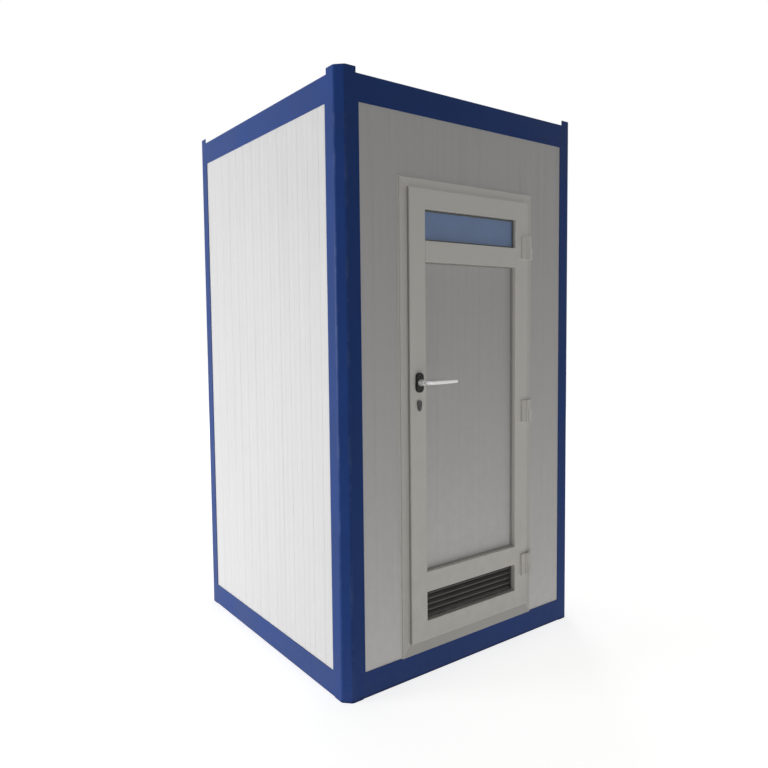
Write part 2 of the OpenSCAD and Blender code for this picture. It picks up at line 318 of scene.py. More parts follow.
def soften(
    piece: Object,
    width: float,
    segments: int = 2,
    least: float = 60,
    where: PointTest | None = None,
    along: Axis | None = None,
) -> Object:
    """Rounds the outward edges of a piece, and marks the rounded faces as its rims.

    Args:
        piece: The piece.
        width: The width of the rounding, in millimetres.
        segments: How many steps it has.
        least: The smallest turn of an edge that is rounded, in degrees.
        where: Both ends of an edge have to pass this test.
        along: Only edges that run along this axis are rounded.

    Returns:
        The same piece.
    """
    open_rim_slot(piece)
    with editing(piece, Pick.EDGES):
        if pick_creases(piece, least, where, along):
            bpy.ops.mesh.bevel(
                offset=width * MM,
                segments=segments,
                profile=0.5,
                affect="EDGES",
                clamp_overlap=True,
                material=RIM_SLOT,
            )
    return piece


def smooth(piece: Object, angle: float = 38) -> Object:
    """Shades a piece smooth across its small steps, with flat faces kept flat.

    Args:
        piece: The piece.
        angle: Edges that turn by more than this stay sharp, in degrees.

    Returns:
        The same piece.
    """
    take_up(piece)
    bpy.ops.object.shade_smooth_by_angle(angle=math.radians(angle))
    even = piece.modifiers.new("even", "WEIGHTED_NORMAL")
    even.keep_sharp = True
    even.weight = 80
    bpy.ops.object.modifier_apply(modifier=even.name)
    return piece


def mark_rims(piece: Object) -> None:
    """Turns the rounded faces into the attribute that the tint of rubbed edges and painted highlights
    reads.
    """
    mesh = piece.data
    rim = mesh.attributes.get("rim") or mesh.attributes.new("rim", "FLOAT", "FACE")
    for face in mesh.polygons:
        rim.data[face.index].value = 1.0 if face.material_index == RIM_SLOT else 0.0
        face.material_index = 0


def face_outwards(piece: Object) -> None:
    """Merges the doubles of a piece and turns its faces outwards."""
    with editing(piece):
        bpy.ops.mesh.select_all(action="SELECT")
        bpy.ops.mesh.remove_doubles(threshold=SAME)
        bpy.ops.mesh.normals_make_consistent(inside=False)


def cut_away(piece: Object, point: Vector, normal: Vector) -> None:
    """Cuts a piece with a plane, closes the cut and drops what is in front of it.

    Args:
        piece: The piece.
        point: A point of the plane, in metres.
        normal: The side that is dropped.
    """
    with editing(piece):
        bpy.ops.mesh.select_all(action="SELECT")
        bpy.ops.mesh.bisect(
            plane_co=point, plane_no=normal, use_fill=True, clear_outer=True, threshold=SAME
        )


def score(piece: Object, axis: Axis, places: Iterable[float]) -> None:
    """Adds lines round a piece where planes across one axis cut it.

    Args:
        piece: The piece.
        axis: The axis that the planes are square to.
        places: The planes' places along the axis, in metres.
    """
    normal = Vector((0, 0, 0))
    normal[axis] = 1
    with editing(piece):
        for place in places:
            bpy.ops.mesh.select_all(action="SELECT")
            bpy.ops.mesh.bisect(plane_co=normal * place, plane_no=normal, threshold=SAME)


def turn_selected(degrees: float, axis: Axis, centre: Vector) -> None:
    """Turns what is selected about an axis, counterclockwise when seen from its tip.

    Args:
        degrees: How far.
        axis: Which axis.
        centre: A point of the axis, in metres.
    """
    bpy.ops.transform.rotate(
        value=-math.radians(degrees), orient_axis=axis.name, center_override=centre
    )


def place(
    piece: Object, turn: Triple = (0, 0, 0), shift: Vector | Triple = (0, 0, 0)
) -> Object:
    """Turns and moves a piece, and puts the result into its mesh.

    Args:
        piece: The piece, with its object at the origin.
        turn: The turns about X, Y and Z, in degrees.
        shift: The move after it, in metres.

    Returns:
        The same piece.
    """
    take_up(piece)
    piece.rotation_euler = [math.radians(a) for a in turn]
    piece.location = shift
    bpy.ops.object.transform_apply(location=True, rotation=True, scale=True)
    return piece


def copy_to(piece: Object, name: str, shift: Vector | Triple = (0, 0, 0)) -> Object:
    """Copies a piece with its own mesh.

    Args:
        piece: The piece to copy.
        name: The copy's name.
        shift: The copy's move, in metres.

    Returns:
        The copy.
    """
    twin = piece.copy()
    twin.data = piece.data.copy()
    twin.name = twin.data.name = name
    bpy.context.scene.collection.objects.link(twin)
    return place(twin, shift=shift)


def join(name: str, parts: list[Object]) -> Object:
    """Joins several pieces into one.

    Args:
        name: The name of the result.
        parts: The pieces.

    Returns:
        The joined piece.
    """
    take_up(parts[0])
    for part in parts[1:]:
        part.select_set(True)
    if len(parts) > 1:
        bpy.ops.object.join()
    parts[0].name = parts[0].data.name = name
    return parts[0]


def copy_of(node: str, name: str) -> Object:
    """Copies a CAD node as a clean mesh that can be reshaped.

    Args:
        node: The CAD node.
        name: The piece's name.

    Returns:
        The copy, merged and with its flat faces whole.
    """
    source = bpy.data.objects[node]
    mesh = source.data.copy()
    mesh.name = name
    piece = bpy.data.objects.new(name, mesh)
    bpy.context.scene.collection.objects.link(piece)
    mesh.materials.clear()
    take_up(piece)
    bpy.ops.mesh.customdata_custom_splitnormals_clear()
    with editing(piece):
        bpy.ops.mesh.select_all(action="SELECT")
        bpy.ops.mesh.remove_doubles(threshold=SAME)
        bpy.ops.mesh.dissolve_limited(angle_limit=math.radians(FLAT))
    return piece


@dataclass(frozen=True)
class Rect:
    """An upright rectangle in the plane of the front, in metres."""

    left: float
    low: float
    right: float
    high: float

    @classmethod
    def of(cls, node: str) -> Rect:
        """Returns the outline of a CAD node as the front shows it."""
        low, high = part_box(node)
        return cls(low.x, low.z, high.x, high.z)

    def grown(self, by: float) -> Rect:
        """Returns the rectangle grown on all sides, by millimetres."""
        d = by * MM
        return Rect(self.left - d, self.low - d, self.right + d, self.high + d)

    def holds(self, point: Vector) -> bool:
        """Tells whether a point lies within the rectangle, as the front shows it."""
        return self.left < point.x < self.right and self.low < point.z < self.high


def ring(name: str, outer: Rect, width: float, front: float, back: float) -> Object:
    """Makes an upright rectangular ring that faces the front.

    Args:
        name: The piece's name.
        outer: Its outer edge.
        width: Its width within that edge, in millimetres.
        front: The place of its front face along Y, in metres.
        back: The place of its back face, in metres.

    Returns:
        The new piece.
    """
    put_down_all()
    bpy.ops.mesh.primitive_plane_add(
        size=1,
        location=((outer.left + outer.right) / 2, front, (outer.low + outer.high) / 2),
        rotation=(math.radians(90), 0, 0),
    )
    piece = settle(name, (outer.right - outer.left, outer.high - outer.low, 1))
    with editing(piece):
        bpy.ops.mesh.select_all(action="SELECT")
        bpy.ops.mesh.inset(thickness=width * MM, depth=0)
        bpy.ops.mesh.delete(type="FACE")
        bpy.ops.mesh.select_all(action="SELECT")
        bpy.ops.mesh.extrude_region_move(TRANSFORM_OT_translate={"value": (0, back - front, 0)})
    face_outwards(piece)
    return piece


def folded_sheet(
    name: str, length: float, bends: Sequence[tuple[float, float]], gauge: float
) -> Object:
    """Folds a strip of sheet along X through the points of a profile.

    Args:
        name: The piece's name.
        length: Its length, centred on X = 0, in millimetres.
        bends: The (Y, Z) points of its profile, in millimetres.
        gauge: The thickness of the sheet, in millimetres.

    Returns:
        The new piece.
    """
    points = [mm(0, y, z) for y, z in bends]
    first = points[1] - points[0]
    put_down_all()
    bpy.ops.mesh.primitive_plane_add(
        size=1,
        location=(points[0] + points[1]) / 2,
        rotation=(math.atan2(first.z, first.y), 0, 0),
    )
    piece = settle(name, (length * MM, first.length, 1))
    with editing(piece, Pick.EDGES):
        for here, following in zip(points[1:], points[2:]):
            pick_points(piece, lambda p, here=here: (p.yz - here.yz).length < CLOSE)
            bpy.ops.mesh.extrude_region_move(TRANSFORM_OT_translate={"value": following - here})
    wall = piece.modifiers.new("wall", "SOLIDIFY")
    wall.thickness = gauge * MM
    wall.offset = 0
    wall.use_even_offset = True
    apply_all(piece)
    face_outwards(piece)
    return piece


# ------------------------------------------------------------------- lined sheet panels


@dataclass(frozen=True)
class Band:
    """A groove or rib that runs the full height of a lined sheet, in millimetres.

    A depth below zero stands out of the sheet.
    """

    at: float
    foot: float
    flat: float
    depth: float
    sheet: Sheet

    def lines(self) -> list[float]:
        """Returns where the band's edges cross the strip, in metres."""
        return [(self.at + d / 2) * MM for d in (-self.foot, -self.flat, self.flat, self.foot)]


@dataclass
class LinedPanel:
    """A sandwich panel whose sheets repeat the same lines over and over."""

    pitch: float
    thickness: float
    bands: list[Band]

    def build(self, name: str, length: float, height: float, first: float) -> Object:
        """Builds a panel along X from 0, with its outer sheet at Y = 0 and its foot at Z = 0.

        Args:
            name: The piece's name.
            length: Its length, in metres.
            height: Its height, in metres.
            first: Where the pitch that holds the first line starts, in metres.

        Returns:
            The new piece.
        """
        pitch, wall = self.pitch * MM, self.thickness * MM
        strip = block(name, Vector((0, 0, 0)), Vector((pitch, wall, height)))
        score(strip, 0, sorted({x for band in self.bands for x in band.lines()}))
        with editing(strip, Pick.POINTS):
            for band in self.bands:
                face, into = (0, 1) if band.sheet is Sheet.OUTER else (wall, -1)
                _, left, right, _ = band.lines()
                pick_points(
                    strip,
                    lambda p, y=face, a=left, b=right: abs(p.y - y) < SAME
                    and a - SAME < p.x < b + SAME,
                )
                bpy.ops.transform.translate(value=(0, into * band.depth * MM, 0))
        with editing(strip):
            pick_faces(
                strip,
                lambda c, n: abs(n.x) > STRAIGHT and (c.x < SAME or c.x > pitch - SAME),
            )
            bpy.ops.mesh.delete(type="FACE")
        start = first - pitch * math.ceil(first / pitch) - pitch
        place(strip, shift=(start, 0, 0))
        row = strip.modifiers.new("row", "ARRAY")
        row.count = math.ceil((length - start) / pitch) + 1
        row.use_relative_offset = False
        row.use_constant_offset = True
        row.constant_offset_displace = (pitch, 0, 0)
        row.use_merge_vertices = True
        row.merge_threshold = CLOSE
        apply_all(strip)
        cut_away(strip, Vector((0, 0, 0)), Vector((-1, 0, 0)))
        cut_away(strip, Vector((length, 0, 0)), Vector((1, 0, 0)))
        face_outwards(strip)
        return strip


# ---------------------------------------------------------------------- shader effects


def linear(colour: Srgb) -> tuple[float, float, float, float]:
    """Returns an sRGB colour of 0 to 255 as linear values with full alpha."""
    parts = [c / 255 for c in colour]
    r, g, b = (p / 12.92 if p <= 0.04045 else ((p + 0.055) / 1.055) ** 2.4 for p in parts)
    return (r, g, b, 1.0)


class Graph:
    """A node tree with short ways to add and join nodes."""

    MIX_COLOURS = (6, 7)
    MIX_RESULT = 2

    def __init__(self, tree: bpy.types.NodeTree) -> None:
        """Starts from an empty tree."""
        self.tree = tree
        tree.nodes.clear()

    def add(self, kind: str, **settings: object) -> Node:
        """Adds a node of a kind and sets its properties."""
        node = self.tree.nodes.new(kind)
        for key, value in settings.items():
            setattr(node, key, value)
        return node

    def feed(self, target: Socket, source: Socket | float | tuple) -> None:
        """Joins a socket to an input, or sets the input's value."""
        if isinstance(source, bpy.types.NodeSocket):
            self.tree.links.new(source, target)
        else:
            target.default_value = source

    def math(self, operation: str, a: Socket | float, b: Socket | float = 0.0) -> Socket:
        """Adds a Math node and returns its result."""
        node = self.add("ShaderNodeMath", operation=operation)
        self.feed(node.inputs[0], a)
        self.feed(node.inputs[1], b)
        return node.outputs[0]

    def spread(
        self,
        value: Socket,
        span: tuple[float, float],
        low: Socket | float = 0.0,
        high: Socket | float = 1.0,
    ) -> Socket:
        """Adds a Map Range node, clamped.

        Args:
            value: The value to map.
            span: The part of it that counts.
            low: What the start of the span becomes.
            high: What its end becomes.

        Returns:
            The result.
        """
        node = self.add("ShaderNodeMapRange", clamp=True)
        self.feed(node.inputs["Value"], value)
        self.feed(node.inputs["From Min"], span[0])
        self.feed(node.inputs["From Max"], span[1])
        self.feed(node.inputs["To Min"], low)
        self.feed(node.inputs["To Max"], high)
        return node.outputs["Result"]

    def mix(self, mask: Socket | float, a: Socket | tuple, b: Socket | tuple) -> Socket:
        """Mixes two colours: the first where the mask is 0, the second where it is 1."""
        node = self.add("ShaderNodeMix", data_type="RGBA")
        self.feed(node.inputs["Factor"], mask)
        for place_in_node, colour in zip(self.MIX_COLOURS, (a, b)):
            self.feed(node.inputs[place_in_node], colour)
        return node.outputs[self.MIX_RESULT]

    def scaled(self, colour: Socket, by: Socket | float) -> Socket:
        """Multiplies a colour by a value."""
        node = self.add("ShaderNodeVectorMath", operation="SCALE")
        self.feed(node.inputs[0], colour)
        self.feed(node.inputs["Scale"], by)
        return node.outputs[0]

    def place(self) -> Socket:
        """Returns the place on the piece, in metres."""
        return self.add("ShaderNodeTexCoord").outputs["Object"]

    def noise(self, scale: Socket | float, detail: float, stretch: Triple = (1, 1, 1)) -> Socket:
        """Adds noise over the piece, stretched along its axes, and returns its value."""
        stretched = self.add("ShaderNodeMapping")
        stretched.inputs["Scale"].default_value = stretch
        self.feed(stretched.inputs["Vector"], self.place())
        node = self.add("ShaderNodeTexNoise")
        self.feed(node.inputs["Vector"], stretched.outputs[0])
        self.feed(node.inputs["Scale"], scale)
        self.feed(node.inputs["Detail"], detail)
        return node.outputs["Fac"]


class Effects:
    """The shader node groups that several finishes share."""

    COLOUR = "NodeSocketColor"
    VALUE = "NodeSocketFloat"
    CLOUD_SPAN = (0.3, 0.7)
    STREAK_SHAPE = (1, 1, 0.035)
    STREAK_SPAN = (0.48, 0.72)
    STREAK_SHADE = 0.62
    STREAK_AREAS = 1.6
    DUST_AND_LIGHT_SCALE = 26.0
    DUST_AND_LIGHT_SPAN = (0.35, 0.7)
    DUST_AND_LIGHT_FADE = 2.2
    WEAR_AND_HIGHLIGHT_SCALE = 13.0
    WEAR_AND_HIGHLIGHT_SPAN = (0.5, 0.68)
    WAVE_SCALE = 5.0

    def __init__(self) -> None:
        """Builds each group once."""
        self.mottle = self._mottle()
        self.streaks = self._streaks()
        self.dust_and_light = self._dust_and_light()
        self.wear_and_highlight = self._wear_and_highlight()
        self.grain = self._grain()

    def _open(
        self, name: str, takes: dict[str, str], gives: dict[str, str]
    ) -> tuple[Graph, Node, Node]:
        """Makes an empty group.

        Args:
            name: The group's name.
            takes: Its inputs, name to socket kind.
            gives: Its outputs, name to socket kind.

        Returns:
            Its graph, its input node and its output node.
        """
        tree = bpy.data.node_groups.new(name, "ShaderNodeTree")
        for key, kind in takes.items():
            tree.interface.new_socket(name=key, in_out="INPUT", socket_type=kind)
        for key, kind in gives.items():
            tree.interface.new_socket(name=key, in_out="OUTPUT", socket_type=kind)
        graph = Graph(tree)
        return graph, graph.add("NodeGroupInput"), graph.add("NodeGroupOutput")

    def _mottle(self) -> bpy.types.NodeTree:
        """Returns soft light and dark patches over a colour."""
        graph, start, end = self._open(
            "mottle",
            {"Color": self.COLOUR, "Scale": self.VALUE, "Spread": self.VALUE},
            {"Color": self.COLOUR, "Mask": self.VALUE},
        )
        cloud = graph.noise(start.outputs["Scale"], detail=5.0)
        less = graph.math("SUBTRACT", 1.0, start.outputs["Spread"])
        more = graph.math("ADD", 1.0, start.outputs["Spread"])
        shade = graph.spread(cloud, self.CLOUD_SPAN, less, more)
        graph.feed(end.inputs["Color"], graph.scaled(start.outputs["Color"], shade))
        graph.feed(end.inputs["Mask"], graph.spread(cloud, self.CLOUD_SPAN))
        return graph.tree

    def _streaks(self) -> bpy.types.NodeTree:
        """Returns faint upright marks, as rain leaves on a wall."""
        graph, start, end = self._open(
            "rain_streaks",
            {"Color": self.COLOUR, "Amount": self.VALUE, "Scale": self.VALUE},
            {"Color": self.COLOUR},
        )
        fine = graph.noise(start.outputs["Scale"], detail=6.0, stretch=self.STREAK_SHAPE)
        broad = graph.noise(self.STREAK_AREAS, detail=2.0)
        mask = graph.math("MULTIPLY", graph.spread(fine, self.STREAK_SPAN), broad)
        mask = graph.math("MULTIPLY", mask, start.outputs["Amount"])
        darker = graph.scaled(start.outputs["Color"], self.STREAK_SHADE)
        graph.feed(end.inputs["Color"], graph.mix(mask, start.outputs["Color"], darker))
        return graph.tree

    def _dust_and_light(self) -> bpy.types.NodeTree:
        """Returns a tint that thins out above a height: dirt and splashes near the foot on the steel
        and the side sheets, painted light towards the floor on the front sheets and the infill, and
        darker towards the bottom on the door profiles and hinge covers.
        """
        graph, start, end = self._open(
            "dust_by_height",
            {
                "Color": self.COLOUR,
                "Dust": self.COLOUR,
                "Rise": self.VALUE,
                "Least": self.VALUE,
                "Amount": self.VALUE,
            },
            {"Color": self.COLOUR, "Mask": self.VALUE},
        )
        split = graph.add("ShaderNodeSeparateXYZ")
        graph.feed(split.inputs[0], graph.place())
        share = graph.math("DIVIDE", split.outputs["Z"], start.outputs["Rise"])
        low = graph.spread(share, (0.0, 1.0), 1.0, 0.0)
        spots = graph.noise(self.DUST_AND_LIGHT_SCALE, detail=7.0)
        patch = graph.spread(spots, self.DUST_AND_LIGHT_SPAN, start.outputs["Least"])
        mask = graph.math("MULTIPLY", graph.math("POWER", low, self.DUST_AND_LIGHT_FADE), patch)
        mask = graph.math("MULTIPLY", mask, start.outputs["Amount"])
        dusted_and_lit = graph.mix(mask, start.outputs["Color"], start.outputs["Dust"])
        graph.feed(end.inputs["Color"], dusted_and_lit)
        graph.feed(end.inputs["Mask"], mask)
        return graph.tree

    def _wear_and_highlight(self) -> bpy.types.NodeTree:
        """Returns patches of the under colour along the rounded edges of a piece: rubbed paint on
        most finishes, and on the louvre blade lips painted highlights with some real rubbing.
        """
        graph, start, end = self._open(
            "edge_wear",
            {"Color": self.COLOUR, "Under": self.COLOUR, "Amount": self.VALUE},
            {"Color": self.COLOUR},
        )
        rim = graph.add("ShaderNodeAttribute", attribute_name="rim")
        patch = graph.spread(graph.noise(self.WEAR_AND_HIGHLIGHT_SCALE, detail=8.0), self.WEAR_AND_HIGHLIGHT_SPAN)
        mask = graph.math("MULTIPLY", rim.outputs["Fac"], patch)
        mask = graph.math("MULTIPLY", mask, start.outputs["Amount"])
        worn_and_lit = graph.mix(mask, start.outputs["Color"], start.outputs["Under"])
        graph.feed(end.inputs["Color"], worn_and_lit)
        return graph.tree

    def _grain(self) -> bpy.types.NodeTree:
        """Returns the height of a fine skin, such as the peel of sprayed paint."""
        graph, start, end = self._open(
            "grain", {"Scale": self.VALUE, "Waves": self.VALUE}, {"Height": self.VALUE}
        )
        fine = graph.noise(start.outputs["Scale"], detail=2.0)
        slow = graph.noise(self.WAVE_SCALE, detail=1.0)
        slow = graph.math("MULTIPLY", slow, start.outputs["Waves"])
        graph.feed(end.inputs["Height"], graph.math("ADD", fine, slow))
        return graph.tree


# ---------------------------------------------------------------------------- finishes


@dataclass(frozen=True)
class Finish:
    """A painted, moulded or rolled surface, how it has weathered, and on some finishes painted light
    and shade.
    """

    name: str
    slot: str
    colour: Srgb
    roughness: float = 0.45
    roughness_play: float = 0.06
    metallic: float = 0.0
    specular: float = 0.5
    mottle: float = 0.03
    mottle_scale: float = 2.5
    streaks: float = 0.0
    streak_scale: float = 30.0
    dust_and_light: float = 0.0
    dust_and_light_rise: float = 0.7
    dust_and_light_least: float = 0.25
    dust_and_light_roughness: float = 0.4
    dust_and_light_colour: Srgb = (138, 128, 112)
    # The colour that rubbed edges show; on the louvre it is a painted highlight.
    wear_and_highlight: float = 0.0
    under: Srgb = (150, 152, 156)
    grain_scale: float = 700.0
    grain_waves: float = 0.0
    grain_height: float = 0.02

    def pattern(self, graph: Graph) -> Socket | tuple:
        """Returns the colour before it ages."""
        return linear(self.colour)

    def relief(self, graph: Graph, effects: Effects) -> Socket:
        """Returns the height of the surface's own texture."""
        grain = self._group(graph, effects.grain, Scale=self.grain_scale, Waves=self.grain_waves)
        return grain.outputs["Height"]

    def body(self, shader: Node) -> None:
        """Sets what is the same all over the surface."""
        shader.inputs["Metallic"].default_value = self.metallic
        shader.inputs["Specular IOR Level"].default_value = self.specular

    def _group(self, graph: Graph, tree: bpy.types.NodeTree, **values: object) -> Node:
        """Places a shared group with this finish's values."""
        node = graph.add("ShaderNodeGroup", node_tree=tree)
        for key, value in values.items():
            graph.feed(node.inputs[key], value)
        return node

    def build(self, effects: Effects) -> Material:
        """Builds the material.

        Args:
            effects: The shared node groups.

        Returns:
            The material, named after the finish.
        """
        material = bpy.data.materials.new(self.name)
        material.use_nodes = True
        graph = Graph(material.node_tree)
        shader = graph.add("ShaderNodeBsdfPrincipled")
        end = graph.add("ShaderNodeOutputMaterial")
        graph.feed(end.inputs["Surface"], shader.outputs["BSDF"])
        self.body(shader)
        aged_and_lit = self._group(
            graph, effects.mottle, Color=self.pattern(graph), Scale=self.mottle_scale,
            Spread=self.mottle,
        )
        cloud = aged_and_lit.outputs["Mask"]
        if self.streaks:
            aged_and_lit = self._group(
                graph, effects.streaks, Color=aged_and_lit.outputs["Color"], Amount=self.streaks,
                Scale=self.streak_scale,
            )
        # Rubbed edges; on the louvre blade lips this is painted highlight.
        if self.wear_and_highlight:
            aged_and_lit = self._group(
                graph, effects.wear_and_highlight, Color=aged_and_lit.outputs["Color"], Under=linear(self.under),
                Amount=self.wear_and_highlight,
            )
        glossy, dull = (self.roughness + s * self.roughness_play for s in (-1, 1))
        rough = graph.spread(cloud, (0.0, 1.0), glossy, dull)
        # Tint by height: dirt near the foot on the steel and the side sheets, painted light towards
        # the floor on the front sheets and the infill, and darker towards the bottom on the door
        # profiles and hinge covers.
        if self.dust_and_light:
            aged_and_lit = self._group(
                graph, effects.dust_and_light, Color=aged_and_lit.outputs["Color"], Dust=linear(self.dust_and_light_colour),
                Rise=self.dust_and_light_rise, Least=self.dust_and_light_least, Amount=self.dust_and_light,
            )
            duller = graph.math("MULTIPLY", aged_and_lit.outputs["Mask"], self.dust_and_light_roughness)
            rough = graph.math("ADD", rough, duller)
        graph.feed(shader.inputs["Base Color"], aged_and_lit.outputs["Color"])
        graph.feed(shader.inputs["Roughness"], rough)
        bump = graph.add("ShaderNodeBump")
        bump.inputs["Strength"].default_value = 1.0
        bump.inputs["Distance"].default_value = self.grain_height * MM
        graph.feed(bump.inputs["Height"], self.relief(graph, effects))
        graph.feed(shader.inputs["Normal"], bump.outputs["Normal"])
        return material


@dataclass(frozen=True)
class FrostedGlass(Finish):
    """Blue-tinted glass with a fine sandblasted face."""

    clearness: float = 0.3
    ior: float = 1.5

    def body(self, shader: Node) -> None:
        """Lets part of the light through."""
        super().body(shader)
        shader.inputs["Transmission Weight"].default_value = self.clearness
        shader.inputs["IOR"].default_value = self.ior


@dataclass(frozen=True)
class SpeckledVinyl(Finish):
    """Floor vinyl with small darker and lighter chips."""

    chips: tuple[Srgb, Srgb] = ((84, 88, 92), (160, 163, 166))
    chip_scale: float = 320.0
    bare_share: tuple[float, float] = (0.8, 0.82)

    def pattern(self, graph: Graph) -> Socket:
        """Scatters the chips over the ground colour."""
        flakes = graph.add("ShaderNodeTexVoronoi")
        graph.feed(flakes.inputs["Vector"], graph.place())
        flakes.inputs["Scale"].default_value = self.chip_scale
        tone = graph.add("ShaderNodeSeparateColor")
        graph.feed(tone.inputs[0], flakes.outputs["Color"])
        ground = linear(self.colour)
        for channel, chip, bare in zip(tone.outputs, self.chips, self.bare_share):
            mask = graph.math("GREATER_THAN", channel, bare)
            ground = graph.mix(mask, ground, linear(chip))
        return ground


@dataclass(frozen=True)
class BrushedMetal(Finish):
    """Metal with fine lines that run along X."""

    line_scale: float = 240.0
    line_shape: Triple = (0.04, 1, 1)

    def relief(self, graph: Graph, effects: Effects) -> Socket:
        """Returns lines drawn out along X."""
        return graph.noise(self.line_scale, detail=4.0, stretch=self.line_shape)


@dataclass(frozen=True)
class Paints:
    """Every finish of the cabin."""

    enamel: Finish = Finish(
        "blue_enamel", "blue_steel", (34, 64, 127), roughness=0.42, specular=0.12, mottle=0.07,
        mottle_scale=4.0, streaks=0.2, dust_and_light=0.06, dust_and_light_rise=0.4, wear_and_highlight=0.3, under=(84, 104, 150),
        grain_scale=420.0, grain_waves=1.5, grain_height=0.05,
    )
    sheet: Finish = Finish(
        "coated_wall_sheet", "wall_sheet", (217, 216, 216), roughness=0.42, mottle=0.012,
        mottle_scale=1.2, streaks=0.23, streak_scale=34.0, dust_and_light=0.07, dust_and_light_rise=0.6,
        grain_scale=900.0, grain_waves=2.0, grain_height=0.02,
    )
    # The front walls: darker than the side sheets, as painted shade, with a paler tint by height that
    # lightens them towards the floor as painted light.
    front_sheet: Finish = replace(
        sheet, name="coated_front_sheet", colour=(207, 206, 206), dust_and_light=1.0, dust_and_light_rise=2.2,
        dust_and_light_least=0.75, dust_and_light_colour=(231, 230, 228),
    )
    # The infill: darker still, as painted shade in its recess, with the same paler tint by height as
    # painted light towards the floor.
    infill: Finish = replace(
        front_sheet, name="coated_infill_sheet", slot="infill_sheet", colour=(202, 201, 201),
        mottle=0.014, mottle_scale=1.6, streak_scale=38.0, dust_and_light_colour=(243, 242, 239),
    )
    roof: Finish = Finish(
        "coated_roof_sheet", "roof_sheet", (201, 204, 208), roughness=0.4, mottle=0.07,
        mottle_scale=3.0, streaks=0.2, grain_scale=600.0, grain_height=0.03,
    )
    # The profile's tint by height darkens it towards the bottom.
    profile: Finish = Finish(
        "door_profile", "door_profile", (236, 234, 228), roughness=0.32, mottle=0.01,
        mottle_scale=3.0, streaks=0.05, dust_and_light=0.8, dust_and_light_rise=2.2, dust_and_light_least=0.75,
        dust_and_light_colour=(190, 188, 182), wear_and_highlight=0.15, under=(205, 203, 196), grain_scale=1300.0,
        grain_height=0.012,
    )
    # The jambs: a darker copy of the door profile, as painted shade.
    jamb: Finish = replace(
        profile, name="jamb_profile", colour=(225, 223, 218), dust_and_light_colour=(180, 178, 173),
    )
    sill: Finish = Finish(
        "sill_profile", "door_profile", (183, 181, 176), roughness=0.4, mottle=0.03,
        mottle_scale=5.0, streaks=0.08, wear_and_highlight=0.3, under=(184, 182, 176), grain_scale=1300.0,
        grain_height=0.012,
    )
    # The covers' tint by height darkens them towards the bottom, like the door profile.
    cover: Finish = Finish(
        "hinge_cover", "hinge_cover", (228, 226, 221), roughness=0.26, mottle=0.008,
        dust_and_light=0.8, dust_and_light_rise=2.2, dust_and_light_least=0.75, dust_and_light_colour=(186, 184, 178),
        grain_scale=1500.0, grain_height=0.008,
    )
    rubber: Finish = Finish(
        "grey_rubber", "door_profile", (103, 102, 98), roughness=0.7, mottle=0.05,
        mottle_scale=20.0, grain_scale=2200.0, grain_height=0.03,
    )
    # A paler grey rubber for the flange seal and the infill gasket, lightened beyond the grey rubber
    # so that these seals, which sit in shaded gaps, look less dark: partly painted light.
    seal: Finish = replace(rubber, name="pale_seal", colour=(168, 167, 162))
    sealant: Finish = Finish(
        "sealant", "door_profile", (226, 226, 220), roughness=0.5, mottle=0.04,
        mottle_scale=14.0, grain_scale=160.0, grain_height=0.4,
    )
    # The glass's broad mottle stands in for uneven reflections on it: painted reflection.
    glass: Finish = FrostedGlass(
        "frosted_glass", "frosted_glass", (144, 172, 216), roughness=0.4, roughness_play=0.05,
        mottle=0.08, mottle_scale=6.0, grain_scale=1100.0, grain_height=0.08,
    )
    # The louvre: dark, as painted shade on the blade faces, and its rubbed-edge tint lightens the
    # blade lips as painted highlights, partly real rubbing.
    louvre: Finish = Finish(
        "louvre_coat", "louvre", (94, 93, 90), roughness=0.45, specular=0.35, mottle=0.08,
        mottle_scale=14.0, wear_and_highlight=0.9, under=(196, 195, 190), grain_scale=900.0,
    )
    netting: Finish = Finish(
        "insect_netting", "louvre", (24, 24, 26), roughness=0.6, mottle=0.05, grain_scale=1800.0,
    )
    plastic: Finish = Finish(
        "black_plastic", "lever_plate", (15, 15, 16), roughness=0.45, specular=0.3, mottle=0.04,
        mottle_scale=30.0, wear_and_highlight=0.3, under=(48, 48, 50), grain_scale=2600.0, grain_height=0.03,
    )
    lock: Finish = Finish(
        "lock_metal", "lock", (84, 83, 82), roughness=0.42, metallic=0.2, mottle=0.05,
        mottle_scale=30.0, wear_and_highlight=0.4, under=(128, 128, 130), grain_scale=2200.0,
    )
    lever: Finish = Finish(
        "satin_lever", "lever", (238, 238, 238), roughness=0.32, metallic=0.5, mottle=0.02,
        mottle_scale=25.0, wear_and_highlight=0.2, under=(190, 190, 190), grain_scale=2400.0,
        grain_height=0.01,
    )
    steel: Finish = BrushedMetal(
        "brushed_steel", "lock", (176, 178, 180), roughness=0.34, metallic=0.9, mottle=0.04,
        mottle_scale=22.0, grain_height=0.03,
    )
    zinc: Finish = Finish(
        "zinc_screw", "roof_sheet", (168, 170, 172), roughness=0.4, metallic=0.8, mottle=0.08,
        mottle_scale=60.0, grain_scale=1600.0,
    )
    vinyl: Finish = SpeckledVinyl(
        "floor_vinyl", "deck", (118, 121, 125), roughness=0.5, mottle=0.04, mottle_scale=5.0,
        grain_scale=500.0, grain_height=0.05,
    )
    trim: Finish = Finish(
        "white_trim", "wall_sheet", (226, 226, 226), roughness=0.4, mottle=0.015,
        grain_scale=1100.0,
    )


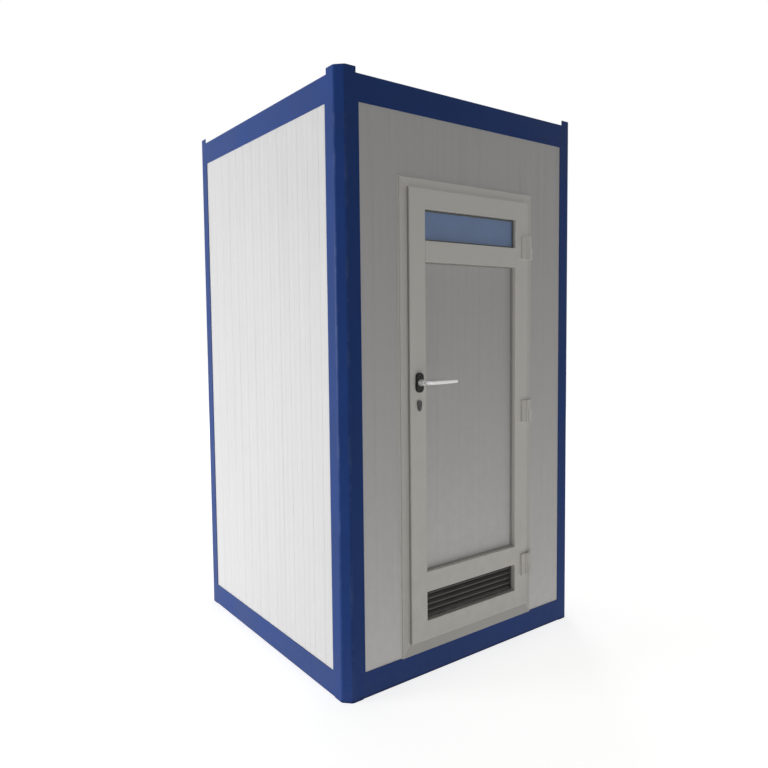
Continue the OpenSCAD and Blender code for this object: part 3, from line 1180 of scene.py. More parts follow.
@dataclass
class Dresser:
    """Gives each finished piece its material and its body."""

    effects: Effects = field(default_factory=Effects)
    made: dict[str, Material] = field(default_factory=dict)
    pieces: int = 0

    def material(self, finish: Finish) -> Material:
        """Returns the material of a finish, built on first use."""
        if finish.name not in self.made:
            self.made[finish.name] = finish.build(self.effects)
        return self.made[finish.name]

    def dress(self, piece: Object, finish: Finish, body: Body, *nodes: str) -> None:
        """Finishes a piece.

        Args:
            piece: The piece, in place.
            finish: Its finish.
            body: The body it rides on.
            nodes: The CAD nodes it stands for.
        """
        mark_rims(piece)
        piece.data.materials.clear()
        piece.data.materials.append(self.material(finish))
        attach(piece, body.value)
        if nodes:
            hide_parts(*nodes)
        self.pieces += 1
        faces = len(piece.data.polygons)
        LOG.info("%s: %s on %s, %d faces", piece.name, finish.name, body.value, faces)


# ------------------------------------------------------------------------- steel frame


@dataclass
class SteelFrame:
    """The welded posts, rails and floor bearer."""

    dresser: Dresser
    corner_round: float = 7.0
    fold_reach: float = 45.0
    rail_round: float = 4.0
    rail_turn: float = 34.0
    edge_round: float = 0.8
    cap_t: float = 2.0
    post_w: float = 80.0
    weld_r: float = 3.2
    weld_half: int = 29
    weld_tip: int = 2
    weld_step: int = 3
    weld_dip: float = 0.78
    weld_shift: float = 4.0

    POSTS = ("post_front_left", "post_front_right", "post_back_left", "post_back_right")
    RAILS = tuple(
        f"{level}_rail_{side}"
        for level in ("base", "top")
        for side in ("front", "back", "left", "right")
    )

    def build(self) -> None:
        """Builds every steel piece."""
        for node in self.POSTS:
            self.post(node)
        for node in self.RAILS:
            self.rail(node)
        self.bearer()
        self.welds()

    def post(self, node: str) -> None:
        """Builds a corner post, and its folded outer plate above the rails, with the folds rounded.

        Args:
            node: The CAD node it stands for.
        """
        low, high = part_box(node)
        outer = Vector((
            low.x if low.x < -high.x else high.x,
            low.y if low.y < -high.y else high.y,
            0,
        ))
        cut = Vector((0, 0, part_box("top_rail_front")[1].z - self.cap_t * MM))

        def at_fold(p: Vector) -> bool:
            """Tells the points near the outer corner, where the steel is folded."""
            return (p.xy - outer.xy).length < self.fold_reach * MM

        tube = copy_of(node, f"{node}_steel")
        cut_away(tube, cut, Vector((0, 0, 1)))
        soften(tube, self.corner_round, segments=4, least=30, where=at_fold, along=Axis.Z)
        self.dresser.dress(smooth(tube), Paints.enamel, Body.CABIN, node)
        plate = copy_of(node, f"{node}_plate")
        cut_away(plate, cut, Vector((0, 0, -1)))
        soften(plate, self.corner_round, segments=4, least=30, where=at_fold, along=Axis.Z)
        soften(plate, self.edge_round, where=lambda p: p.z > high.z - NEAR or not at_fold(p))
        self.dresser.dress(smooth(plate), Paints.enamel, Body.CABIN)

    def rail(self, node: str) -> None:
        """Builds a rail, with its long edges rounded and its ends left flush for the weld.

        Args:
            node: The CAD node it stands for.
        """
        low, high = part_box(node)
        along = Axis.X if high.x - low.x > high.y - low.y else Axis.Y
        free_edge = low.z if node.startswith("base") else high.z
        piece = copy_of(node, f"{node}_steel")
        rounded = self.rail_round * MM + NEAR
        soften(
            piece, self.rail_round, segments=3, least=self.rail_turn,
            where=lambda p: abs(p.z - free_edge) < NEAR, along=along,
        )
        soften(
            piece, self.edge_round, segments=1, least=self.rail_turn,
            where=lambda p: abs(p.z - free_edge) > rounded, along=along,
        )
        self.dresser.dress(smooth(piece), Paints.enamel, Body.CABIN, node)

    def bearer(self) -> None:
        """Builds the bearer under the floor."""
        piece = soften(copy_of("floor_bearer", "floor_bearer_steel"), self.edge_round, segments=1)
        self.dresser.dress(smooth(piece), Paints.enamel, Body.CABIN, "floor_bearer")

    def welds(self) -> None:
        """Lays a rippled weld where each top rail meets the cap of a post."""
        half, first = self.weld_half, self.weld_tip - self.weld_half
        lines = range(first, 1 - first, self.weld_step)
        bead = rod("bead", mm(-half, 0, 0), mm(half, 0, 0), self.weld_r * MM, sides=10)
        score(bead, Axis.X, [x * MM for x in lines])
        dip = (1, self.weld_dip, self.weld_dip)
        with editing(bead, Pick.POINTS):
            for x in lines[::2]:
                pick_points(bead, lambda p, x=x: abs(p.x - x * MM) < NEAR)
                bpy.ops.transform.resize(value=dip, center_override=mm(x, 0, 0))
        smooth(bead, angle=50)
        low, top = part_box("post_front_left")[0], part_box("top_rail_front")[1].z
        shift = self.post_w / 2 + self.weld_shift
        inner, middle = low + mm(self.post_w, self.post_w, 0), low + mm(shift, shift, 0)
        beads = []
        for sx in (1, -1):
            for sy in (1, -1):
                beads.append(copy_to(bead, "weld", (sx * middle.x, sy * inner.y, top)))
                across = (sx * inner.x, sy * middle.y, top)
                beads.append(place(copy_to(bead, "weld"), (0, 0, 90), across))
        bpy.data.objects.remove(bead)
        self.dresser.dress(join("post_welds", beads), Paints.enamel, Body.CABIN)


# ------------------------------------------------------------------ walls, floor, roof


@dataclass
class Shell:
    """The lined wall panels, the floor and the roof."""

    dresser: Dresser
    pitch: float = 81.5
    groove: float = 3.2
    groove_floor: float = 1.0
    groove_depth: float = 0.8
    faint_groove: float = 1.6
    faint_floor: float = 0.5
    faint_depth: float = 0.36
    sheet_turn: float = 5.0
    front_line: float = -512.75
    side_line: float = -507.0
    deck_round: float = 1.0
    skirting_t: float = 1.6
    trim_t: float = 1.0
    trim_round: float = 3.0
    trim_step: float = 0.4
    trim_gap: float = 0.2
    roof_pitch: float = 195.0
    rib_h: float = 18.0
    rib_foot: float = 64.0
    rib_crest: float = 26.0
    bead_h: float = 1.2
    bead_foot: float = 6.0
    bead_crest: float = 2.0
    flashing_t: float = 1.0
    flashing_h: float = 12.0
    flashing_w: float = 58.0
    flashing_cut: float = 2.0
    screws: int = 6
    screw_in: float = 26.0
    washer_r: float = 8.0
    washer_t: float = 1.2
    washer_rim: float = 1.5
    washer_rise: float = 0.6
    head_r: float = 4.6
    head_h: float = 6.0
    head_round: float = 0.5

    SKIRTING_BENDS = ((9.0, 1.2), (4.0, 3.2), (1.6, 9.0), (1.0, 60.0))

    def wall_lines(self) -> list[Band]:
        """Returns the grooves of a wall panel, on both sheets."""
        quarter = self.pitch / 4
        deep = (quarter, self.groove, self.groove_floor, self.groove_depth)
        faint = (3 * quarter, self.faint_groove, self.faint_floor, self.faint_depth)
        return [Band(*sizes, sheet) for sizes in (deep, faint) for sheet in Sheet]

    def wall(self, node: str, turn: float, line: float, finish: Finish) -> None:
        """Builds a wall panel in the place of its CAD node.

        Args:
            node: The CAD node it stands for.
            turn: How far its outside is turned from the front, in degrees.
            line: The place of one groove along the wall, seen from outside, in millimetres.
            finish: Its finish.
        """
        low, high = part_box(node)
        unturn = Matrix.Rotation(-math.radians(turn), 3, "Z")
        near, far = unturn @ low, unturn @ high
        left, front = min(near.x, far.x), min(near.y, far.y)
        length, thick = max(near.x, far.x) - left, max(near.y, far.y) - front
        panel = LinedPanel(self.pitch, thick / MM, self.wall_lines())
        first = line * MM - left - self.pitch * MM / 4
        piece = panel.build(f"{node}_sheet", length, high.z - low.z, first)
        place(piece, shift=(left, front, low.z))
        place(piece, turn=(0, 0, turn))
        smooth(piece, self.sheet_turn)
        body = Body.LEAF if node.startswith("leaf") else Body.CABIN
        self.dresser.dress(piece, finish, body, node)

    def build(self) -> None:
        """Builds the walls, the floor and the roof."""
        for node in ("wall_front_left", "wall_front_right", "wall_over_door"):
            self.wall(node, 0, self.front_line, Paints.front_sheet)
        self.wall("wall_left", -90, -self.side_line, Paints.sheet)
        self.wall("wall_right", 90, self.side_line, Paints.sheet)
        self.wall("wall_back", 180, self.front_line, Paints.sheet)
        self.floor()
        self.roof()
        self.room_trims()

    def room_trims(self) -> None:
        """Covers the steel that shows inside the room with white trims."""
        skin = self.trim_t * MM
        roof_low, roof_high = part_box("roof_panel")
        rail_low, rail_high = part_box("top_rail_left")
        wall_x = abs(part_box("wall_left")[1].x) + skin
        wall_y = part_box("wall_back")[0].y + skin
        post_x, post_y = roof_high.x - skin, roof_high.y - skin
        ledge_x = abs(rail_high.x) - skin
        ledge_y = wall_y - (wall_x - ledge_x)
        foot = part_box("floor_deck")[1].z
        low, high = rail_low.z - skin, roof_low.z - self.trim_gap * MM
        lower = low - self.trim_step * MM
        trims = []
        for side in (-1, 1):
            for end in (-1, 1):
                near = (side * post_x, end * post_y, foot)
                far = (side * wall_x, end * wall_y, high - skin)
                trims.append(self.trim(near, far, Axis.Z))
            near, far = (side * ledge_x, -wall_y, low), (side * wall_x, wall_y, high)
            trims.append(self.trim(near, far, Axis.Y))
            near, far = (-wall_x, side * ledge_y, lower), (wall_x, side * wall_y, high)
            trims.append(self.trim(near, far, Axis.X))
        trim = join("room_trims", trims)
        self.dresser.dress(smooth(trim), Paints.trim, Body.CABIN)

    def trim(self, near: Triple, far: Triple, along: Axis) -> Object:
        """Makes one straight trim with its long edges rounded.

        Args:
            near: One corner, in metres.
            far: The opposite corner.
            along: The axis that it runs along.

        Returns:
            The trim.
        """
        low, high = (Vector(map(pick, near, far)) for pick in (min, max))
        return soften(block("trim", low, high), self.trim_round, segments=3, along=along)

    def floor(self) -> None:
        """Lays the floor, with a skirting round the room."""
        deck = soften(copy_of("floor_deck", "floor_deck_vinyl"), self.deck_round)
        self.dresser.dress(smooth(deck), Paints.vinyl, Body.CABIN, "floor_deck")
        low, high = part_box("floor_deck")
        strips = []
        for node, turn, edge in (
            ("wall_front_left", 0, low.y),
            ("wall_front_right", 0, low.y),
            ("wall_back", 180, high.y),
            ("wall_right", 90, high.x),
            ("wall_left", -90, low.x),
        ):
            along = Axis.X if turn in (0, 180) else Axis.Y
            start, end = (corner[along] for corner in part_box(node))
            middle = (start + end) / 2
            length = (end - start) / MM
            strip = folded_sheet("skirt", length, self.SKIRTING_BENDS, self.skirting_t)
            shift = (middle, edge, high.z) if along is Axis.X else (edge, middle, high.z)
            strips.append(place(strip, turn=(0, 0, turn), shift=shift))
        skirting = join("floor_skirting", strips)
        self.dresser.dress(smooth(skirting, angle=50), Paints.vinyl, Body.CABIN)

    def roof(self) -> None:
        """Builds the roof panel with its raised ribs, flashings and screws."""
        low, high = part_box("roof_panel")
        quarter = self.roof_pitch / 4
        groove = (self.groove, self.groove_floor, self.groove_depth, Sheet.INNER)
        bands = [
            Band(quarter, self.rib_foot, self.rib_crest, -self.rib_h, Sheet.OUTER),
            Band(3 * quarter, self.bead_foot, self.bead_crest, -self.bead_h, Sheet.OUTER),
            Band(quarter, *groove),
            Band(3 * quarter, *groove),
        ]
        panel = LinedPanel(self.roof_pitch, (high.z - low.z) / MM, bands)
        piece = panel.build("roof_panel_sheet", high.x - low.x, high.y - low.y, quarter * MM)
        place(piece, turn=(-90, 0, 0), shift=(low.x, low.y, high.z))
        self.dresser.dress(smooth(piece, self.sheet_turn), Paints.roof, Body.CABIN, "roof_panel")
        top = high.z + (self.rib_h + self.bead_h) * MM
        self.flashings(top)
        self.roof_screws(top)

    def flashings(self, top: float) -> None:
        """Covers the edges of the roof with folded strips.

        Args:
            top: The height of the strips' flat part, in metres.
        """
        low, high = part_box("roof_panel")
        wide, tall = self.flashing_w, self.flashing_h
        bends = ((1.0, tall), (1.0, 1.0), (wide, 0.0), (wide + 1.0, -self.rib_h - 1.0))
        strips = []
        for turn, edge, length in (
            (0, low.y, high.x - low.x),
            (180, high.y, high.x - low.x),
            (90, high.x, high.y - low.y),
            (-90, low.x, high.y - low.y),
        ):
            length = length / MM - self.flashing_cut
            strip = folded_sheet("strip", length, bends, self.flashing_t)
            shift = (0, edge, top) if turn in (0, 180) else (edge, 0, top)
            strips.append(place(strip, turn=(0, 0, turn), shift=shift))
        cover = join("roof_flashing", strips)
        self.dresser.dress(smooth(cover, angle=30), Paints.roof, Body.CABIN)

    def roof_screws(self, top: float) -> None:
        """Screws the flashings down on all four sides.

        Args:
            top: The height of the flashings' flat part, in metres.
        """
        low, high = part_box("roof_panel")
        size = high - low
        screw = self.screw(Vector((0, 0, top)))
        screws = []
        for k in range(self.screws):
            along = (k + 0.5) / self.screws - 0.5
            for side in (1, -1):
                x, y = (side * (edge - self.screw_in * MM) for edge in high.xy)
                screws.append(copy_to(screw, "screw", (along * size.x, y, 0)))
                screws.append(copy_to(screw, "screw", (x, along * size.y, 0)))
        bpy.data.objects.remove(screw)
        self.dresser.dress(join("roof_screws", screws), Paints.zinc, Body.CABIN)

    def screw(self, seat: Vector) -> Object:
        """Makes a hexagon-headed screw with its washer.

        Args:
            seat: The middle of its washer's underside, in metres.

        Returns:
            The screw.
        """
        under, top = seat + mm(0, 0, self.washer_t), seat + mm(0, 0, self.head_h)
        washer = rod("washer", seat, under, self.washer_r * MM, sides=16)
        with editing(washer):
            pick_faces(washer, lambda c, n: n.z > FACING)
            bpy.ops.mesh.inset(thickness=self.washer_rim * MM, depth=self.washer_rise * MM)
        head = rod("head", under, top, self.head_r * MM, sides=6)
        soften(
            head, self.head_round, segments=1, least=50, where=lambda p: p.z > top.z - NEAR
        )
        return smooth(join("screw", [washer, head]), angle=30)


# ------------------------------------------------------------------- parts of the door


@dataclass(frozen=True)
class Profile:
    """A straight door profile, with rounded long edges and fine lines at its joints."""

    rounding: float
    joint_line: float
    least_turn: float = 40.0
    shortest: float = 4.0
    long: float = 100.0
    bore_sides: int = 14

    def build(
        self, dresser: Dresser, node: str, body: Body, finish: Finish,
        sharp: PointTest | None = None,
    ) -> None:
        """Builds a member of the door from its CAD node.

        Args:
            dresser: What finishes the piece.
            node: The CAD node it stands for.
            body: The body it rides on.
            finish: Its finish.
            sharp: Edges at points where this holds are left sharp, such as round a bore.
        """
        piece = copy_of(node, f"{node}_profile")
        open_rim_slot(piece)
        low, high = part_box(node)
        along = Axis.X if high.x - low.x > high.z - low.z else Axis.Z
        for lengthwise in (True, False):
            self.round_edges(piece, along, lengthwise, sharp)
        dresser.dress(smooth(piece), finish, body, node)

    def round_edges(
        self, piece: Object, along: Axis, lengthwise: bool, sharp: PointTest | None
    ) -> None:
        """Rounds either the long edges of a member or those at its ends.

        Args:
            piece: The member.
            along: The axis that it runs along.
            lengthwise: Whether the long edges are meant.
            sharp: Edges at points where this holds are left out.
        """
        with editing(piece, Pick.EDGES):
            mesh = bmesh.from_edit_mesh(piece.data)
            mesh.normal_update()
            for edge in mesh.edges:
                a, b = (v.co for v in edge.verts)
                length = (b - a).length
                if len(edge.link_faces) != 2 or length < self.shortest * MM:
                    continue
                if edge.calc_face_angle_signed() < math.radians(self.least_turn):
                    continue
                if sharp is not None and (sharp(a) or sharp(b)):
                    continue
                runs = abs((b - a).normalized()[along]) > STRAIGHT and length > self.long * MM
                round_face = len(edge.link_faces[0].verts) >= self.bore_sides
                if runs is lengthwise and (lengthwise or not round_face):
                    edge.select_set(True)
            bmesh.update_edit_mesh(piece.data)
            bpy.ops.mesh.bevel(
                offset=(self.rounding if lengthwise else self.joint_line) * MM,
                segments=3 if lengthwise else 1,
                affect="EDGES",
                clamp_overlap=True,
                material=RIM_SLOT if lengthwise else -1,
            )


@dataclass(frozen=True)
class LockPlate:
    """An upright plate of the lock, with a place for the latch and one for the bolt."""

    name: str
    width: float
    below: float
    above: float
    latch: tuple[float, float]
    bolt: tuple[float, float]
    opening: float
    insets: tuple[tuple[float, float], ...]
    rounding: float = 0.4
    case_in: float = 4.0

    def build(self, back: float, face: float) -> Object:
        """Builds the plate.

        Args:
            back: The place of its back along X, in metres.
            face: The place of its face.

        Returns:
            The plate.
        """
        latch, bolt = (
            sum(corner.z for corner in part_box(node)) / 2
            for node in ("lever_plate_outer", "lock_cylinder")
        )
        openings = [
            (middle + start * MM, middle + end * MM)
            for middle, (start, end) in ((latch, self.latch), (bolt, self.bolt))
        ]
        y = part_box("leaf_infill")[0].y + self.case_in * MM
        half, reach = self.width / 2 * MM, self.opening / 2 * MM
        way = 1 if face > back else -1
        low = Vector((min(back, face), y - half, bolt - self.below * MM))
        high = Vector((max(back, face), y + half, latch + self.above * MM))
        plate = block(self.name, low, high)
        score(plate, Axis.Z, [z for opening in openings for z in opening])
        score(plate, Axis.Y, [y - reach, y + reach])
        with editing(plate):
            for start, end in openings:
                pick_faces(
                    plate,
                    lambda c, n, a=start, b=end: n.x * way > FACING
                    and a < c.z < b and abs(c.y - y) < reach,
                )
                for rim, depth in self.insets:
                    bpy.ops.mesh.inset(thickness=rim * MM, depth=depth * MM)
        soften(plate, self.rounding, segments=1, where=lambda p: (p.x - face) * way > -NEAR)
        return smooth(plate)


def leaf_outline() -> Rect:
    """Returns the outer edge of the door leaf."""
    left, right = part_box("leaf_stile_lock")[0].x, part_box("leaf_stile_hinge")[1].x
    low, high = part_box("leaf_rail_bottom")[0].z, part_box("leaf_rail_top")[1].z
    return Rect(left, low, right, high)


# -------------------------------------------------------------------------- door frame


@dataclass
class DoorFrame:
    """The fixed frame of the door, with its seals and the strike of the lock."""

    dresser: Dresser
    profile: Profile = Profile(rounding=1.6, joint_line=0.15)
    sealant_w: float = 4.0
    sealant_proud: float = 3.5
    sealant_round: float = 3.0
    seal_w: float = 6.0
    seal_gap: float = 1.6
    seal_in: float = 9.5
    seal_round: float = 1.2
    seal_seat: float = 0.2
    stop_gap: float = 5.0
    strike_in: float = 8.0
    strike_t: float = 1.5
    strike: LockPlate = LockPlate(
        "strike_plate", width=24.0, below=60.0, above=70.0, latch=(-18.0, 18.0),
        bolt=(-4.0, 30.0), opening=14.0, insets=((0.4, -1.1),),
    )

    MEMBERS = {
        "door_jamb_left": Paints.jamb,
        "door_jamb_right": Paints.jamb,
        "door_head": Paints.profile,
        "door_sill": Paints.sill,
    }

    def build(self) -> None:
        """Builds the frame and what is fixed to it."""
        for node, finish in self.MEMBERS.items():
            self.profile.build(self.dresser, node, Body.CABIN, finish)
        self.sealant()
        self.seal()
        self.strike_plate()

    def outline(self) -> Rect:
        """Returns the outer edge of the frame."""
        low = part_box("door_jamb_left")[0]
        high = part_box("door_jamb_right")[1]
        return Rect(low.x, low.z, high.x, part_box("door_head")[1].z)

    def sealant(self) -> None:
        """Runs a bead of sealant between the frame and the wall panels."""
        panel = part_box("wall_over_door")[0].y
        outer = self.outline().grown(self.sealant_w)
        face = panel - self.sealant_proud * MM
        bead = ring("frame_sealant", outer, self.sealant_w, face, panel)
        cut_away(bead, Vector((0, 0, self.outline().low)), Vector((0, 0, -1)))

        def at_rim(p: Vector) -> bool:
            """Tells the points of the bead's outer edge."""
            gaps = (p.x - outer.left, p.x - outer.right, p.z - outer.high)
            return p.y < panel - NEAR and min(abs(gap) for gap in gaps) < NEAR

        soften(bead, self.sealant_round, segments=3, where=at_rim)
        self.dresser.dress(smooth(bead, angle=45), Paints.sealant, Body.CABIN)

    def seal(self) -> None:
        """Puts a rubber seal on the stop that the leaf closes against."""
        leaf_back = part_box("leaf_rail_top")[1].y
        face = leaf_back + self.seal_gap * MM
        stop = leaf_back + self.stop_gap * MM + self.seal_seat * MM
        piece = ring("stop_seal", leaf_outline().grown(-self.seal_in), self.seal_w, face, stop)
        soften(piece, self.seal_round, where=lambda p: p.y < face + NEAR)
        self.dresser.dress(smooth(piece, angle=50), Paints.rubber, Body.CABIN)

    def strike_plate(self) -> None:
        """Fixes the strike plate on the jamb, cut out for the latch and the bolt."""
        jamb = Rect.of("leaf_stile_lock").left + self.strike_in * MM
        plate = self.strike.build(jamb, jamb + self.strike_t * MM)
        self.dresser.dress(plate, Paints.steel, Body.CABIN)


# --------------------------------------------------------------------------- door leaf


@dataclass
class DoorLeaf:
    """The swinging leaf with its fillings."""

    dresser: Dresser
    shell: Shell
    profile: Profile = Profile(rounding=2.2, joint_line=0.12)
    bore_reach: float = 14.0
    glass_gasket: tuple[float, float] = (6.5, 5.0)
    infill_gasket: tuple[float, float] = (4.0, 11.5)
    gasket_round: float = 1.6
    pane_t: float = 4.0
    pane_round: float = 0.6
    spacer_in: float = 3.0
    spacer_w: float = 7.0
    spacer_round: float = 0.8
    bead_w: float = 12.0
    bead_d: float = 14.0
    bead_gap: float = 0.5
    bead_round: float = 5.0
    seal_out: float = 0.9
    seal_w: float = 6.0
    seal_d: float = 9.5
    seal_gap: float = 0.9
    seal_round: float = 0.7
    infill_line: float = -193.5
    faceplate_edge: float = 63.5
    faceplate_t: float = 2.0
    faceplate_proud: float = 1.5
    lock_face: LockPlate = LockPlate(
        "lock_faceplate", width=16.0, below=70.0, above=80.0, latch=(-11.0, 11.0),
        bolt=(2.0, 24.0), opening=10.0, insets=((0.5, -0.6), (0.3, 1.6)),
    )

    MEMBERS = (
        "leaf_stile_hinge", "leaf_rail_top", "leaf_rail_upper", "leaf_rail_lower",
        "leaf_rail_bottom", "leaf_stile_lock",
    )

    def build(self) -> None:
        """Builds the leaf."""
        bores = [sum(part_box(node), Vector()) / 2 for node in ("lock_cylinder", "lever_plate_outer")]

        def at_bore(p: Vector) -> bool:
            """Tells the points round the two bores."""
            return min((p.xz - bore.xz).length for bore in bores) < self.bore_reach * MM

        for node in self.MEMBERS:
            sharp = at_bore if node == "leaf_stile_lock" else None
            self.profile.build(self.dresser, node, Body.LEAF, Paints.profile, sharp)
        self.shell.wall("leaf_infill", 0, self.infill_line, Paints.infill)
        self.glass()
        self.beads("leaf_glass", "glass", *self.glass_gasket, Paints.rubber)
        self.beads("leaf_infill", "infill", *self.infill_gasket, Paints.seal)
        self.flange_seal()
        self.faceplate()

    def glass(self) -> None:
        """Builds the sealed unit: two panes with a spacer between."""
        low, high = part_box("leaf_glass")
        front, back = low.y + self.pane_t * MM, high.y - self.pane_t * MM
        outer = block("glass_pane_outer", low, Vector((high.x, front, high.z)))
        inner = block("glass_pane_inner", Vector((low.x, back, low.z)), high)
        for piece in (outer, inner):
            soften(piece, self.pane_round)
            smooth(piece)
        self.dresser.dress(outer, Paints.glass, Body.LEAF, "leaf_glass")
        self.dresser.dress(inner, Paints.glass, Body.LEAF)
        edge = Rect.of("leaf_glass").grown(-self.spacer_in)
        spacer = ring("glass_spacer", edge, self.spacer_w, front, back)
        soften(spacer, self.spacer_round, segments=1)
        self.dresser.dress(smooth(spacer), Paints.steel, Body.LEAF)

    def beads(self, node: str, part: str, wide: float, proud: float, rubber: Finish) -> None:
        """Frames a filling with a rubber line outside and a white bead inside.

        Args:
            node: The CAD node of the filling.
            part: What the filling is called in the names of the pieces.
            wide: The width of the rubber line, in millimetres.
            proud: How far it stands out of the filling, in millimetres.
            rubber: Its finish.
        """
        low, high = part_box(node)
        edge = Rect.of(node)
        line = ring(f"{part}_gasket", edge, wide, low.y - proud * MM, low.y)
        soften(line, self.gasket_round, where=lambda p: p.y < low.y - NEAR)
        self.dresser.dress(smooth(line, angle=50), rubber, Body.LEAF)
        deep = min(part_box("leaf_rail_top")[1].y - high.y, self.bead_d * MM)
        back = high.y + deep - self.bead_gap * MM
        bead = ring(f"{part}_bead_inside", edge, self.bead_w, high.y, back)
        inside = edge.grown(-self.bead_w / 2)
        soften(
            bead, self.bead_round, segments=3,
            where=lambda p: p.y > high.y + NEAR and inside.holds(p),
        )
        self.dresser.dress(smooth(bead, angle=50), Paints.profile, Body.LEAF)

    def flange_seal(self) -> None:
        """Puts the rubber seal behind the flange, clear of the frame."""
        frame_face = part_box("door_head")[0].y
        front, back = (frame_face - d * MM for d in (self.seal_d, self.seal_gap))
        seal = ring("flange_seal", leaf_outline().grown(self.seal_out), self.seal_w, front, back)
        soften(seal, self.seal_round)
        self.dresser.dress(smooth(seal, angle=50), Paints.seal, Body.LEAF)

    def faceplate(self) -> None:
        """Lets the faceplate of the lock into the edge of the leaf, with its latch and bolt."""
        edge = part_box("leaf_infill")[0].x - self.faceplate_edge * MM
        face = edge - self.faceplate_proud * MM
        plate = self.lock_face.build(face + self.faceplate_t * MM, face)
        self.dresser.dress(plate, Paints.steel, Body.LEAF)


@dataclass
class Louvre:
    """The vent at the foot of the leaf: a rim, folded blades and netting behind."""

    dresser: Dresser
    rim_w: float = 6.0
    rim_round: float = 1.0
    blades: int = 5
    blade_pitch: float = 23.5
    blade_gauge: float = 1.6
    blade_out: float = 1.0
    blade_round: float = 0.45
    lip_reach: float = 7.5
    net_cell: float = 6.0
    net_wire: float = 0.7
    net_margin: float = 8.0
    net_in: float = 1.5

    BLADE_BENDS = ((-8.4, -8.5), (-8.8, -5.2), (-7.4, -3.6), (5.2, 5.0), (7.0, 5.6))

    def build(self) -> None:
        """Builds the rim, the blades and the netting."""
        low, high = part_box("leaf_louvre")
        rim = ring("louvre_rim", Rect.of("leaf_louvre"), self.rim_w, low.y, high.y)
        soften(rim, self.rim_round)
        self.dresser.dress(smooth(rim), Paints.louvre, Body.LEAF, "leaf_louvre")
        width = (high.x - low.x) / MM - self.rim_w
        blade = folded_sheet("blade", width, self.BLADE_BENDS, self.blade_gauge)
        # Only the blade lips are rounded, so the rubbed-edge tint lightens just them: painted
        # highlights, partly real rubbing.
        soften(
            blade, self.blade_round, segments=1,
            where=lambda p: p.y < -self.lip_reach * MM, along=Axis.X,
        )
        smooth(blade, angle=50)
        start = (low + high) / 2 - mm(0, self.blade_out, (self.blades - 1) / 2 * self.blade_pitch)
        blades = [
            copy_to(blade, "blade", start + mm(0, 0, k * self.blade_pitch))
            for k in range(self.blades)
        ]
        bpy.data.objects.remove(blade)
        self.dresser.dress(join("louvre_blades", blades), Paints.louvre, Body.LEAF)
        self.netting()

    def netting(self) -> None:
        """Stretches insect netting behind the blades."""
        low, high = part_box("leaf_louvre")
        put_down_all()
        wide, tall = ((high[a] - low[a]) / MM - self.net_margin for a in (Axis.X, Axis.Z))
        middle = (low + high) / 2
        bpy.ops.mesh.primitive_grid_add(
            x_subdivisions=round(wide / self.net_cell),
            y_subdivisions=round(tall / self.net_cell),
            size=1,
            location=(middle.x, high.y - self.net_in * MM, middle.z),
            rotation=(math.radians(90), 0, 0),
        )
        net = settle("louvre_netting", (wide * MM, tall * MM, 1))
        wires = net.modifiers.new("wires", "WIREFRAME")
        wires.thickness = self.net_wire * MM
        wires.use_even_offset = False
        apply_all(net)
        self.dresser.dress(net, Paints.netting, Body.LEAF)


# ------------------------------------------------------------------------------ hinges


@dataclass
class Hinges:
    """The three covered hinges."""

    dresser: Dresser
    barrel_r: float = 8.0
    barrel_wall: float = 0.6
    cover_round: float = 2.0
    cap_r: float = 7.6
    cap_h: float = 2.4
    cap_round: float = 1.8
    flap_gap: float = 1.6
    flap_start: float = 25.0
    flap_front: float = 4.0
    flap_back: float = 5.0
    flap_over: float = 4.0
    flap_round: float = 1.2

    def build(self) -> None:
        """Builds both halves of each hinge."""
        for level in ("top", "middle", "bottom"):
            for half, body in (("hinge_leaf", Body.LEAF), ("hinge_frame", Body.CABIN)):
                self.half(f"{half}_{level}", body)

    def flap(self, name: str, line: Vector, low: Vector, high: Vector) -> None:
        """Closes the space between the plate and the fixed barrel, clear of the barrel.

        Args:
            name: The piece's name.
            line: A point of the hinge's axis, in metres.
            low: The lowest corner of the hinge's moving half.
            high: Its highest corner.
        """
        edge = line.x - (self.barrel_r + self.flap_gap) * MM
        top = (low.z + high.z) / 2 + self.flap_over * MM
        start = Vector((low.x + self.flap_start * MM, line.y - self.flap_front * MM, low.z))
        end = Vector((edge, line.y + self.flap_back * MM, top))
        flap = soften(block(name, start, end), self.flap_round, segments=3)
        self.dresser.dress(smooth(flap), Paints.cover, Body.LEAF)

    def half(self, node: str, body: Body) -> None:
        """Builds one half of a hinge with the cap on its barrel.

        Args:
            node: The CAD node it stands for.
            body: The body it rides on.
        """
        low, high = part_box(node)
        on_leaf = body is Body.LEAF
        level = node.rsplit("_", 1)[1]
        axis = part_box(f"hinge_leaf_{level}")[1].x - self.barrel_r * MM
        line = Vector((axis, low.y + self.barrel_r * MM, 0))
        barrel = (self.barrel_r + self.barrel_wall) * MM
        piece = soften(
            copy_of(node, f"{node}_cover"), self.cover_round, segments=3,
            where=lambda p: (p.xy - line.xy).length > barrel,
        )
        self.dresser.dress(smooth(piece), Paints.cover, body, node)
        if on_leaf:
            self.flap(f"{node}_flap", line, low, high)
        foot = line + Vector((0, 0, high.z if on_leaf else low.z))
        tip = foot + mm(0, 0, self.cap_h if on_leaf else -self.cap_h)
        cap = rod(f"{node}_cap", foot, tip, self.cap_r * MM)
        soften(cap, self.cap_round, segments=3, where=lambda p: abs(p.z - tip.z) < NEAR)
        self.dresser.dress(smooth(cap, angle=50), Paints.cover, body)


# ------------------------------------------------------------------------ lever and lock


